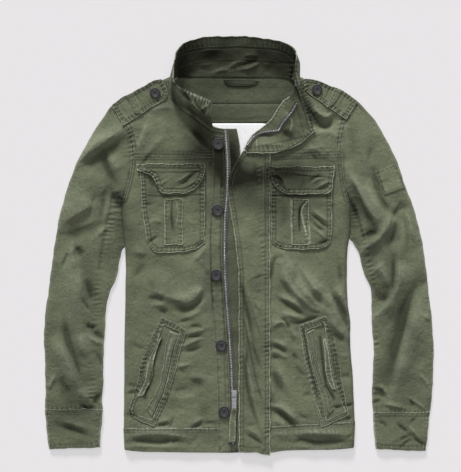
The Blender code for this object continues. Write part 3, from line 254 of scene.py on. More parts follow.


# folds: (line, half width on its left, on its right, height)
creases = [
    # right sleeve, top to cuff
    ((-299, 149, -283, 168, -262, 186, -240, 200, -212, 213), 13, 9, 6),
    ((-288, 146, -271, 159, -251, 173, -231, 186, -210, 198), 6, 12, -2.4),
    ((-251, 175, -247, 157, -242, 140, -234, 125, -225, 114), 5, 6, -3),
    ((-240, 168, -231, 149, -220, 133), 11, 8, 2.6),
    ((-234, 98, -225, 87, -214, 66), 8, 8, -3),
    ((-240, 85, -240, 66, -246, 50), 6, 5, 2.4),
    ((-264, 99, -271, 72, -283, 48), 6, 6, -1.4),
    ((-247, 92, -253, 66, -257, 42), 4, 5, -1.6),
    ((-329, 33, -312, 51, -294, 62, -271, 75, -260, 88), 26, 11, 4.6),
    ((-331, 20, -308, 22, -286, 31, -268, 37, -249, 40), 5, 12, -2.2),
    ((-264, 16, -251, 29, -238, 40), 5, 5, 2.2),
    ((-303, -2, -296, -10, -288, -21), 6, 6, -2.8),
    ((-308, 5, -308, -23, -299, -45), 5, 8, 2),
    ((-314, -10, -321, -26, -329, -43), 3, 3, -1.4),
    ((-299, -41, -294, -67, -286, -95, -277, -119, -271, -137), 10, 20, 4.2),
    ((-286, -56, -279, -82, -271, -110), 9, 5, -2.6),
    ((-290, -95, -284, -110, -275, -124), 3, 3, -2.2),
    ((-283, -145, -273, -152, -264, -150), 4, 5, -3),
    ((-271, -158, -260, -167, -247, -174), 5, 5, -2.6),
    ((-279, -167, -266, -176, -249, -182), 5, 5, 2.4),
    ((-266, -197, -257, -208, -251, -226), 4, 4, -1.6),
    ((-323, -130, -320, -156, -316, -180, -307, -202, -299, -224, -294, -245, -283, -259), 6, 6, -3.4),
    ((-338, -178, -327, -193, -314, -217, -305, -245, -292, -274), 10, 13, 4),
    ((-294, -156, -290, -184, -286, -211), 12, 8, 2.4),
    ((-334, -241, -321, -258, -308, -278), 8, 10, -2),
    ((-338, -237, -345, -250, -353, -269), 4, 5, 2),
    ((-294, -263, -286, -278, -275, -289), 10, 8, 2.4),
    ((-296, -293, -281, -302, -262, -298), 4, 6, -2.2),
    ((-255, -274, -262, -283, -270, -295), 5, 5, -3),
    ((-334, -322, -305, -330, -275, -341), 9, 6, 2.2),
    ((-336, -332, -305, -341, -271, -354), 5, 5, -1.8),
    # left sleeve, top to cuff
    ((245, 181, 243, 168, 241, 155), 4, 4, -1.2),
    ((230, 229, 232, 186, 235, 149, 243, 118), 9, 9, 1.6),
    ((210, 218, 213, 186, 210, 149), 6, 6, -0.9),
    ((200, 144, 210, 124, 221, 103, 230, 83, 241, 62, 256, 50), 8, 6, 4.4),
    ((198, 122, 213, 109, 221, 88, 230, 70, 243, 46, 261, 20), 6, 9, -2.8),
    ((250, 138, 254, 114, 261, 92, 269, 74, 282, 59), 5, 5, -3.4),
    ((237, 116, 245, 90, 256, 68, 265, 57), 9, 9, 2.6),
    ((289, 68, 280, 46, 271, 27, 256, 11, 235, -4, 219, -23), 11, 8, 5.4),
    ((282, 44, 291, 64, 304, 75, 309, 61), 6, 6, -3),
    ((293, 48, 287, 20, 278, 0), 8, 6, -2.4),
    ((309, 66, 319, 33, 328, 0), 3, 4, 2),
    ((304, 59, 311, 25, 315, -8), 4, 4, -1.4),
    ((232, 16, 248, 25, 263, 18), 6, 7, -2.6),
    ((296, -19, 296, -49, 295, -73, 285, -98, 269, -117, 248, -134), 12, 6, 5.2),
    ((287, -19, 287, -49, 285, -78, 280, -98), 5, 4, -2.6),
    ((256, -30, 267, -54, 280, -82), 9, 9, 2.8),
    ((247, -49, 258, -41, 269, -32), 4, 4, 1.4),
    ((252, -80, 263, -93, 280, -102), 8, 8, -3),
    ((345, -67, 326, -78, 315, -100, 308, -128, 302, -160, 295, -185, 289, -211, 285, -234, 280, -258), 6,
     12, -4),
    ((348, -86, 332, -110, 322, -147, 308, -187, 298, -222, 291, -258, 280, -289), 16, 10, 4),
    ((341, -130, 350, -135, 356, -135), 5, 3, 1.4),
    ((335, -237, 345, -250, 354, -265), 3, 3, 1.8),
    ((248, -276, 261, -273, 271, -282), 3, 3, -2.2),
    ((248, -265, 261, -269, 271, -276), 3, 4, -2),
    ((256, -259, 269, -263, 274, -278), 3, 3, 2.2),
    ((247, -293, 254, -289, 263, -287), 3, 3, -1.6),
    ((267, -293, 287, -296, 309, -302), 5, 3, 2.2),
    ((313, -282, 328, -289, 346, -304), 3, 3, 1.6),
    ((315, -285, 321, -291, 322, -300), 3, 3, -1.6),
    ((259, -326, 269, -330, 276, -339), 3, 3, -1.4),
    ((293, -330, 304, -339, 315, -348), 3, 3, -1.8),
    ((315, -333, 322, -343, 328, -352), 3, 3, 1.8),
    ((317, -330, 322, -324, 328, -319), 3, 3, -1.2),
    ((295, -363, 309, -354, 324, -350), 3, 3, -1.6),
    ((322, -354, 332, -363, 346, -370), 3, 3, -1.8),
    ((300, -374, 311, -363, 324, -357), 3, 3, -1.4),
    # right front
    ((-194, -13, -185, -12, -172, -15), 8, 6, 1.8),
    ((-173, -30, -179, -41, -194, -61), 7, 8, -1.4),
    ((-59, 0, -72, -17, -86, -30), 6, 6, 2.2),
    ((-74, -30, -64, -41, -55, -60), 6, 5, -2.2),
    ((-75, -23, -66, -37, -57, -56), 8, 6, 1.8),
    ((-166, -63, -159, -78, -149, -93), 6, 6, -1.2),
    ((-170, -98, -157, -97, -136, -102), 5, 6, -1.8),
    ((-162, -82, -151, -86, -136, -93), 9, 5, 1.8),
    ((-66, -69, -72, -84, -83, -97, -98, -104, -112, -100, -127, -97), 8, 14, 6),
    ((-64, -82, -70, -98, -83, -113, -99, -119, -112, -111, -125, -106), 8, 6, -2.6),
    ((-160, -111, -148, -108, -135, -115), 5, 5, 1.6),
    ((-148, -117, -138, -121, -131, -128), 5, 5, -1.6),
    ((-111, -124, -90, -124, -72, -111, -55, -95), 5, 7, 1.8),
    ((-111, -143, -101, -139, -90, -137), 2.5, 2.5, -1.6),
    ((-103, -134, -83, -128, -66, -115), 4, 5, 1.4),
    ((-92, -154, -81, -148, -62, -154), 3, 4, -1.8),
    ((-96, -163, -79, -158, -55, -150), 4, 4, 1.8),
    ((-99, -172, -83, -167, -66, -167), 3, 3, -1.8),
    ((-103, -187, -86, -178, -70, -172), 3, 3, 2.4),
    ((-107, -195, -90, -195, -66, -187), 4, 4, -1.8),
    ((-116, -224, -103, -222, -90, -219), 3, 3, 1.8),
    ((-111, -228, -103, -234, -96, -241), 3, 3, -1),
    ((-92, -250, -77, -254, -61, -261), 7, 8, -1.6),
    ((-94, -243, -75, -243, -59, -248), 6, 5, 1.2),
    ((-125, -267, -112, -269, -96, -263), 4, 4, -1),
    ((-123, -282, -105, -282, -81, -278), 6, 6, 1),
    ((-72, -295, -64, -308, -59, -322), 8, 8, -0.9),
    ((-199, -178, -188, -187, -172, -191), 4, 4, -1.2),
    ((-207, -274, -194, -271, -183, -271), 4, 4, -1.8),
    ((-209, -256, -196, -259, -183, -263), 4, 4, -1.2),
    ((-210, -315, -196, -311, -183, -319), 4, 4, -1.2),
    ((-153, -335, -140, -331, -129, -330), 2.5, 3, -2.2),
    ((-151, -328, -138, -324, -127, -322), 4, 3, 1.6),
    ((-122, -320, -125, -330, -129, -339), 2, 2, -1.4),
    ((-90, -339, -77, -335, -66, -326), 2.5, 3, -2),
    ((-66, -330, -53, -328, -38, -330), 2.5, 3, -1.6),
    ((-86, -330, -77, -324, -64, -319), 4, 3, 1.4),
    ((-205, -352, -173, -348, -136, -348, -99, -354), 7, 5, 2.6),
    ((-205, -363, -173, -359, -149, -365, -123, -359, -94, -365), 4, 5, -3),
    ((-209, -372, -173, -370, -136, -372, -98, -372), 4, 4, 1.6),
    ((-90, -370, -81, -359, -75, -352), 3, 3, -1),
    ((-123, -348, -125, -359, -129, -369), 2, 2, 1),
    ((-177, 159, -164, 177, -149, 194, -136, 203), 6, 8, 1.4),
    ((-170, 229, -177, 210, -185, 188, -186, 173), 12, 6, 3.4),
    ((-177, 223, -183, 205, -188, 183), 4, 4, -2.2),
    ((-101, 223, -88, 207, -75, 190, -59, 179), 4, 12, 2.6),
    ((-98, 220, -83, 205, -70, 188, -55, 177), 7, 3, -2.2),
    ((-183, 144, -172, 159, -159, 172), 3, 3, -1.2),
    ((-168, 247, -142, 257, -116, 255), 6, 9, 1.8),
    # left front
    ((65, -12, 58, -23, 54, -41), 8, 6, 1),
    ((80, -21, 67, -23, 62, -41, 60, -71), 3, 3, -2),
    ((82, -15, 93, -28, 102, -49, 111, -65, 124, -84, 141, -102, 158, -113), 5, 10, 5.4),
    ((93, -30, 100, -49, 113, -69, 128, -87, 145, -102, 161, -115), 6, 4, -3.2),
    ((106, -30, 123, -56, 143, -82, 165, -104), 12, 8, 4),
    ((78, -30, 86, -60, 100, -82, 117, -100, 136, -117, 152, -126), 6, 8, 3.8),
    ((74, -61, 87, -82, 99, -95), 4, 4, -1.4),
    ((69, -91, 86, -97, 106, -108, 124, -126), 5, 8, 2.6),
    ((71, -97, 86, -106, 106, -117, 126, -132), 4, 6, -3),
    ((76, -124, 97, -128, 119, -135), 4, 6, 2.4),
    ((95, -143, 113, -143, 132, -137, 154, -128), 3, 3, -2.6),
    ((134, -121, 145, -124, 154, -126), 3, 3, -1.8),
    ((71, -139, 82, -135, 91, -147, 97, -161), 3, 3, -2.8),
    ((62, -152, 73, -141, 84, -141, 89, -154), 7, 4, 2.6),
    ((95, -163, 100, -171, 102, -184), 3, 3, -1.4),
    ((93, -148, 100, -160, 108, -174), 5, 4, 2),
    ((60, -185, 74, -189, 91, -200), 4, 5, -2.2),
    ((60, -176, 74, -180, 91, -189), 5, 4, 2),
    ((58, -195, 73, -197, 84, -206, 93, -204), 4, 3, 1.8),
    ((60, -206, 69, -208, 76, -208), 2, 3, -1.6),
    ((99, -198, 104, -206, 111, -211), 4, 4, -2),
    ((106, -222, 113, -235, 124, -241), 3, 3, -1.4),
    ((60, -228, 69, -248, 76, -263, 87, -276), 5, 6, -2.4),
    ((71, -222, 82, -245, 93, -271), 6, 5, 2.4),
    ((56, -239, 58, -263, 69, -282), 5, 4, 1.6),
    ((60, -282, 63, -291, 71, -295), 3, 3, -1.4),
    ((117, -278, 126, -276, 136, -274), 3, 3, -1.2),
    ((58, -295, 74, -298, 93, -311, 110, -330), 8, 5, 3.6),
    ((62, -304, 78, -309, 93, -324, 106, -335), 4, 5, -3.4),
    ((60, -320, 74, -326, 91, -337), 6, 6, 1.6),
    ((108, -309, 119, -319, 132, -319), 4, 4, -1.2),
    ((171, -80, 178, -98, 187, -115, 198, -141, 204, -158), 6, 4, -4),
    ((182, -69, 189, -91, 198, -115, 204, -137), 6, 7, 3.4),
    ((165, -82, 173, -106, 184, -132, 195, -154), 5, 12, 2.8),
    ((174, -161, 184, -169, 197, -178), 5, 6, -2.2),
    ((169, -134, 180, -152, 198, -169), 8, 6, 2.6),
    ((187, -243, 198, -241, 208, -245), 5, 4, -1.4),
    ((176, -197, 191, -204, 204, -204), 4, 4, 0.8),
    ((197, -295, 204, -296, 210, -293), 3, 3, -2.2),
    ((173, -298, 182, -300, 193, -296), 3, 3, -2),
    ((198, -322, 206, -319, 210, -317), 3, 3, -1.6),
    ((99, -348, 123, -346, 160, -348, 206, -348), 8, 5, 2.8),
    ((95, -363, 106, -365, 115, -359, 128, -363, 147, -367, 173, -363, 208, -363), 4, 4, -3.4),
    ((62, -350, 80, -346, 95, -354), 6, 6, 1.2),
    ((106, -372, 141, -376, 178, -374, 206, -372), 4, 4, 1.8),
    ((197, -357, 206, -352, 211, -348), 3, 3, -1.2),
    ((184, -30, 189, -60, 187, -74), 4, 4, -1.4),
    ((113, 173, 147, 181, 169, 166, 184, 151), 5, 6, 1.8),
    ((141, 185, 160, 173, 174, 159), 3, 4, -1.8),
    ((134, 172, 143, 159, 148, 148), 3, 3, -0.8),
    ((130, 264, 134, 240, 148, 222, 165, 218, 176, 236), 6, 5, -3),
    ((137, 262, 145, 246, 161, 236, 174, 247), 6, 6, 4.6),
    ((117, 284, 119, 266, 128, 247, 137, 225), 5, 4, -1.8),
    ((134, 205, 154, 212, 176, 209, 184, 185), 10, 7, 2.4),
    # storm flap
    ((0, -45, 4, -61, 8, -86, 15, -117, 21, -148, 26, -178, 28, -197), 4, 4, -2),
    ((13, -69, 21, -97, 30, -128, 39, -158, 47, -184), 3, 4, 2.2),
    ((21, -100, 30, -134, 39, -163, 47, -187), 2.5, 2.5, -1.8),
    ((13, -128, 19, -160, 25, -189), 3, 2.5, 1.4),
    ((26, -184, 32, -204, 41, -230), 2.5, 3, -1.6),
    ((13, -165, 16, -197, 13, -226, 15, -258, 21, -285, 28, -311, 37, -335, 47, -361), 3, 3, -2),
    ((21, -245, 25, -272, 32, -304, 43, -341), 4, 3, 1.4),
    ((12, -346, 23, -354, 34, -361, 47, -370), 2.5, 3, -1.8),
    ((13, -337, 26, -343, 39, -354), 3, 4, 1.3),
    ((28, -63, 37, -58, 47, -54), 3, 4, -1),
    ((26, -82, 36, -87, 45, -86), 3, 3, -0.8),
    ((28, -100, 36, -110, 41, -123), 5, 4, 1.4),
    ((23, -269, 34, -272, 43, -269), 5, 6, -1),
    ((13, -332, 25, -332, 36, -328), 3, 3, -0.8),
    ((25, 159, 32, 144, 28, 125), 3, 3, -0.6),
    # chest pockets and flaps
    ((-172, 138, -164, 125, -159, 112, -151, 103), 5, 5, -1.6),
    ((-149, 109, -140, 116, -131, 122), 3, 3, 1),
    ((-112, 111, -101, 116, -88, 129, -74, 138), 3, 3, -1.4),
    ((-116, 118, -101, 125, -90, 136), 3, 3, 1.2),
    ((-98, 109, -83, 118, -66, 125), 4, 4, 1.2),
    ((-168, 3, -159, 11, -149, 18), 2.5, 2.5, -1.4),
    ((-83, -2, -74, 1, -64, 7), 2.5, 2.5, -1.4),
    ((-173, 79, -168, 74, -159, 77), 4, 4, -1),
    ((-123, 70, -123, 44, -118, 18), 2.5, 2.5, -1.2),
    ((-168, 40, -155, 48, -140, 40), 6, 6, 1),
    ((-101, 57, -86, 38, -72, 44), 7, 7, 0.8),
    ((60, 127, 76, 125, 86, 111), 4, 4, -1.6),
    ((62, 133, 73, 131, 84, 120, 89, 105), 3, 3, 1.2),
    ((130, 118, 143, 127, 158, 129), 2.5, 2.5, -1.2),
    ((147, 107, 156, 114, 169, 120), 2.5, 2.5, 1.4),
    ((143, 103, 154, 107, 167, 111), 2, 2, -1.2),
    ((136, 114, 143, 122, 156, 125), 2.5, 2, 1),
    ((121, 125, 119, 112, 113, 101), 4, 4, -0.6),
    ((132, 59, 147, 48, 158, 37, 169, 31), 3, 3, -1.8),
    ((137, 66, 152, 53, 167, 44), 4, 4, 1.6),
    ((136, 46, 145, 33, 160, 27), 3, 3, -1.6),
    ((137, 38, 150, 22, 165, 11), 3, 3, 1),
    ((145, 3, 158, 7, 169, 11), 2.5, 2.5, -1.6),
    ((113, 74, 113, 51, 115, 29), 2.5, 2.5, -1.2),
    ((65, 3, 74, -2, 84, -4), 2.5, 2.5, -1),
    ((80, 74, 87, 51, 82, 27), 6, 6, -0.8),
    # collar and facing
    ((-66, 360, -51, 363, -37, 362), 3, 4, 1.4),
    ((-20, 327, -12, 333, -3, 341, 13, 340), 3, 4, 1.8),
    ((4, 325, 19, 328, 32, 334, 39, 340), 3, 3, 2.6),
    ((2, 334, 17, 338, 34, 344), 3, 3, -1.6),
    ((8, 351, 25, 353, 36, 349), 4, 4, 2),
    ((25, 362, 30, 355, 36, 347), 3, 3, 1.4),
    ((-48, 318, -33, 325, -16, 325), 3, 4, 1.4),
    ((-75, 336, -61, 334, -42, 340), 5, 5, 1),
    ((43, 340, 54, 333, 58, 344), 4, 4, 0.8),
    ((-98, 260, -88, 251, -79, 240), 3, 3, -1.8),
    ((-90, 264, -79, 253, -72, 246), 4, 3, 1.6),
    ((-123, 297, -120, 277, -118, 262), 4, 4, -1.6),
    ((-116, 288, -107, 272, -98, 257), 3, 3, 1.4),
    ((-105, 284, -94, 272, -85, 259), 3, 3, -1.4),
    ((-74, 246, -64, 253, -55, 260), 2.5, 2.5, 1.6),
    ((15, 281, 30, 272, 47, 266), 4, 5, -1.2),
    ((21, 288, 39, 286, 62, 277), 8, 6, 1.2),
    ((-62, 275, -38, 272, -16, 272), 4, 5, 0.8),
    ((80, 214, 91, 203, 106, 198), 6, 6, -2),
    ((113, 255, 121, 236, 130, 218), 4, 4, 1),
    ((25, 201, 43, 205, 69, 203), 3, 4, -1.8),
    ((36, 185, 58, 188, 84, 185), 5, 5, 1.4),
]
crease = {"leastHalfWidth": 3.0, "reach": 2.6, "rise": 1.85, "sharpness": 1.5, "endTaper": 0.35,
          "endHeight": 0.25}
softCreases = [(softLine(pairs(line)), *sizes) for line, *sizes in creases]


def creaseHeight(x, y):
    total = np.zeros(x.shape)
    for points, leftWidth, rightWidth, height in softCreases:
        near = nearLine(x, y, points, crease["reach"] * max(leftWidth, rightWidth))
        if near.any():
            signed, along, length = lineDistance(x[near], y[near], points)
            width = np.maximum(np.where(signed > 0, leftWidth, rightWidth), crease["leastHalfWidth"])
            taper = crease["endTaper"] * length
            ends = smoothStep(along / taper) * smoothStep((length - along) / taper)
            across = np.exp(-(np.abs(signed) / width) ** crease["sharpness"])
            lengthwise = crease["endHeight"] + (1 - crease["endHeight"]) * ends
            total[near] += crease["rise"] * height * across * lengthwise
    return total


# the right sleeve's long seam, which puckers and is sewn
rightSleeveSeam = (-225, 103, -233, 57, -242, 25, -249, -8, -257, -41, -262, -73, -264, -119, -270, -156,
                   -270, -193, -270, -234)
# seams whose thread has drawn the cloth up: (line, distance between puckers, their height, half width)
puckers = [
    ((-205, 218, -199, 196, -199, 173, -199, 162), 8.0, 1.1, 7),
    ((191, 236, 188, 199, 189, 162), 8.0, 1.1, 7),
    ((*rightSleeveSeam, -273, -285), 9.0, 0.75, 7),
    ((198, 107, 211, 85, 219, 61, 226, 35, 237, -12, 248, -56, 254, -100, 254, -156, 252, -211, 252, -285),
     9.0, 0.7, 6),
    ((-162, -160, -172, -193, -179, -230, -185, -259), 8.0, 0.8, 5),
    ((-105, -178, -118, -221, -127, -258, -138, -285, -153, -322), 8.5, 0.8, 5),
    ((117, -174, 126, -221, 134, -258, 143, -295, 154, -322), 8.5, 0.8, 5),
    ((174, -184, 180, -230, 187, -267), 8.0, 0.8, 5),
    ((-40, 103, -38, -8, -37, -100, -33, -156, -27, -285), 8.5, 0.6, 6),
    ((37, 149, 39, 66, 43, 11, 49, -63, 50, -156, 52, -285, 52, -359), 8.5, 0.8, 5),
    ((5, -90, 4, -200, 4, -378), 8.0, 0.6, 4),
    ((-205, -343, -120, -344, -44, -343), 9.0, 0.6, 6),
    ((61, -345, 130, -346, 206, -339), 9.0, 0.6, 6),
    ((-355, -303, -262, -301), 8.0, 0.7, 4),
    ((252, -304, 348, -310), 8.0, 0.6, 4),
    ((-105, 366, -53, 370, 2, 370, 58, 370, 98, 358), 7.5, 0.5, 6),
    ((-188, 146, -66, 146), 8.0, 0.4, 4),
    ((58, 142, 174, 138), 8.0, 0.4, 4),
    ((-113, 354, -115, 330, -109, 300, -90, 282, -50, 266), 5.6, 1.0, 13),
    ((112, 310, 124, 270, 138, 236, 149, 208), 6.2, 1.0, 10),
    ((95, 297, 73, 270, 43, 236, 20, 210), 6.6, 0.9, 9),
    ((12, 175, 48, 177, 95, 186, 143, 203), 7.0, 0.7, 7),
]


def puckerHeight(x, y):
    total = np.zeros(x.shape)
    for number, (line, pitch, height, halfWidth) in enumerate(puckers):
        points = pairs(line)
        near = nearLine(x, y, points, 2.5 * halfWidth)
        if near.any():
            signed, along, length = lineDistance(x[near], y[near], points)
            # neither their spacing nor their height is even, and they lean
            drift = ripples(along, (2.3, 21, number), (1.3, 8.3, 2 * number)) + 0.12 * signed
            strength = 0.65 + ripples(along, (0.35, 27, 3 * number))
            wave = np.sin(math.tau * along / pitch + drift)
            total[near] += height * strength * wave * np.exp(-(signed / halfWidth) ** 2)
    return total


# the cloth's own unevenness between its folds: waves of many lengths and directions, bent
def slowWaves(x, y):
    waves, steepness = 14, 0.0042
    total = np.zeros(x.shape)
    for wave in range(waves):
        turn = 2.4 * wave
        length = 19 + 6.1 * ((wave * 5) % waves)
        bend = 14 * np.sin((x + y) / 37 + wave) + 14 * np.cos((y - 0.6 * x) / 31 + 2 * wave)
        across = x * math.cos(turn) + y * math.sin(turn) + bend
        total += steepness * length * np.sin(math.tau * across / length + wave)
    return total


# edges and seams of small pieces aren't straight: how far they stray, sideways
def stray(x, y):
    return (ripples(y, (0.45, 4.1, np.sin(x / 9)), (0.6, 9.7, x / 17), (0.15, 1.9, x / 5)),
            ripples(x, (0.45, 3.9, np.sin(y / 8)), (0.6, 10.3, y / 15), (0.15, 2.1, y / 6)))


# meshes and pieces

def meshOf(name, shape):
    mesh = bpy.data.meshes.new(name)
    shape.to_mesh(mesh)
    shape.free()
    return mesh


def addPiece(name, mesh, material):
    mesh.shade_smooth()
    mesh.materials.clear()
    mesh.materials.append(material)
    piece = bpy.data.objects.new(name, mesh)
    scene.collection.objects.link(piece)
    return piece


def finishPiece(piece, slot, *nodes, body="jacket"):
    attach(piece, body)
    if nodes:
        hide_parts(*nodes)


def triangles(pieces):
    return sum(len(p.data.loops) - 2 * len(p.data.polygons) for p in pieces)


def readPlaces(mesh):
    places = np.empty(len(mesh.vertices) * 3)
    mesh.vertices.foreach_get("co", places)
    return places.reshape(-1, 3) / mm


def writePlaces(mesh, places):
    mesh.vertices.foreach_set("co", (places * mm).ravel())
    mesh.update()


def setAttribute(mesh, name, values):
    attribute = mesh.attributes.new(name, "FLOAT", "POINT")
    attribute.data.foreach_set("value", np.clip(values, 0, 1).astype(np.float32))


# a mesh's faces, to be met by rays
def facesOf(mesh):
    shape = bmesh.new()
    shape.from_mesh(mesh)
    tree = BVHTree.FromBMesh(shape)
    shape.free()
    return tree


# what a ray from straight above, 1 m up, meets: (place, normal, face, distance)
def fromAbove(tree, x, y):
    return tree.ray_cast(Vector((x * mm, y * mm, 1)), -up)


# stands a small shape up on a surface, with its X along and its Z on the normal
def standing(place, along, normal):
    return Matrix.Translation(place) @ Matrix((along, normal.cross(along), normal)).transposed().to_4x4()


# a mesh of many copies of a small shape
def repeated(name, template, places):
    joined = bmesh.new()
    for place in places:
        copy = template.copy()
        copy.transform(place)
        joined.from_mesh(copy)
        bpy.data.meshes.remove(copy)
    return meshOf(name, joined)


edgeAngle = math.radians(50)        # between faces that meet in an edge of the cloth
flatAngle = math.radians(28)
edgeCrease = 0.6        # leaves a cloth edge a small radius
rims = {}               # node: the edges of its upper face, with the cloth on the left of each


# the node's solid as quads, subdivided cuts times, with its edges kept
def clothShape(node, cuts):
    shape = bmesh.new()
    shape.from_mesh(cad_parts[node].data)
    bmesh.ops.remove_doubles(shape, verts=shape.verts, dist=0.01 * mm)
    bmesh.ops.join_triangles(shape, faces=shape.faces, angle_face_threshold=flatAngle,
                             angle_shape_threshold=edgeAngle)
    bmesh.ops.recalc_face_normals(shape, faces=shape.faces)
    creaseLayer = shape.edges.layers.float.new("crease_edge")
    following = {}
    for edge in shape.edges:
        if edge.calc_face_angle(0) > edgeAngle:
            edge[creaseLayer] = edgeCrease
            loops = sorted(edge.link_loops, key=lambda loop: loop.face.normal.z)
            if loops[-1].face.normal.z > 0.5 > loops[0].face.normal.z:
                following[loops[-1].vert] = loops[-1].link_loop_next.vert
    rims[node] = []
    while following:
        start, at = following.popitem()
        line = [start, at]
        while at in following:
            at = following.pop(at)
            line.append(at)
        if len(line) > 3:
            rims[node].append([(v.co.x / mm, v.co.y / mm) for v in line])
    mesh = meshOf(node + "_base", shape)
    base = bpy.data.objects.new(node + "_base", mesh)
    scene.collection.objects.link(base)
    subdivided = base.modifiers.new("subdivide", "SUBSURF")
    subdivided.levels = subdivided.render_levels = cuts
    smoothMesh = bpy.data.meshes.new_from_object(base.evaluated_get(bpy.context.evaluated_depsgraph_get()))
    bpy.data.objects.remove(base)
    bpy.data.meshes.remove(mesh)
    return smoothMesh


# node, or its name without its side: (insets of its rows of stitches, height of its edges' puckers,
# how far its edges stray, how far its free edges curl up)
edging = {
    "back_panel": ((), 0, 0.5, 0),
    "back_lining": ((), 0, 0, 0),
    "back_facing_upper": ((2.4,), 0.4, 0.4, 0.3),
    "back_facing_lower": ((2.4,), 0.4, 0.4, 0.3),
    "hanger_loop": ((1.8,), 0.4, 0.5, 1.2),
    "collar": ((3.2,), 0.7, 1.0, 0.8),
    "front": ((2.6, 7.6), 0.35, 0.5, 0),
    "front_yoke": ((2.6, 8.2), 0.35, 0.5, 0),
    "hem_band": ((2.4, 7.2), 0.5, 0.5, 0.3),
    "hem_band_back": ((), 0.4, 0.5, 0),
    "sleeve": ((2.6,), 0.3, 0.6, 0),
    "sleeve_patch": ((2.0,), 0.4, 0.5, 0.5),
    "cuff": ((2.6, 8.0), 0.5, 0.6, 0.3),
    "button_band": ((2.2,), 0.9, 0.4, 0.3),
    "storm_flap": ((2.6, 8.6), 0.55, 0.8, 1.2),
    "zip_guard": ((), 0.2, 0.3, 0),
    "zip_tape_right": ((), 0, 0, 0),
    "zip_tape_left": ((), 0, 0.3, 0),
    "zip_tape_left_lower": ((), 0, 0, 0),
    "zip_pull_strip": ((), 0.3, 0.4, 0.4),
    "chest_pocket": ((2.2, 8.2), 0.7, 1.0, 0.8),
    "pocket_pleat": ((2.2,), 0.45, 0.8, 0.6),
    "pocket_flap": ((2.4, 8.4), 0.8, 1.2, 2.2),
    "hip_frame": ((2.2, 5.6), 0.8, 0.8, 0.5),
    "hip_welt": ((2.0,), 0.5, 0.8, 1.2),
    "hip_liner": ((), 0.5, 0.8, 1.2),
    "strap": ((2.4, 6.6), 1.0, 0.7, 0.8),
    "strap_loop": ((2.0,), 0.5, 0.5, 0.6),
}
# where the rows of these are sewn; elsewhere their edge is a folded side, or hidden
sewnWhere = {
    "front_right": lambda x, y: (y > 150) | ((x < -190) & (y > 20)),
    "front_left": lambda x, y: (y > 150) | ((x > 180) & (y > 20)),
    "cuff_right": lambda x, y: (y > -316) | (y < -364),
    "cuff_left": lambda x, y: (y > -318) | (y < -366),
    "sleeve_right": lambda x, y: (y > 90) & (x > -240),
    "sleeve_left": lambda x, y: (y > 90) & (x < 235),
    "pocket_pleat_right": lambda x, y: y > 4,
    "pocket_pleat_left": lambda x, y: y > 4,
}


def edgingOf(node):
    return edging.get(node) or edging[node.rsplit("_", 1)[0]]


# the clefts of the hip pockets' openings, dark with painted shade, which the fronts and the frames share
hipClefts = {
    "right": ((-142, -170, -153, -203, -161, -233, -175, -285), 3.0, -0.85),
    "left": ((150, -165, 154, -202, 161, -257, 178, -285), 3.0, -0.85),
}
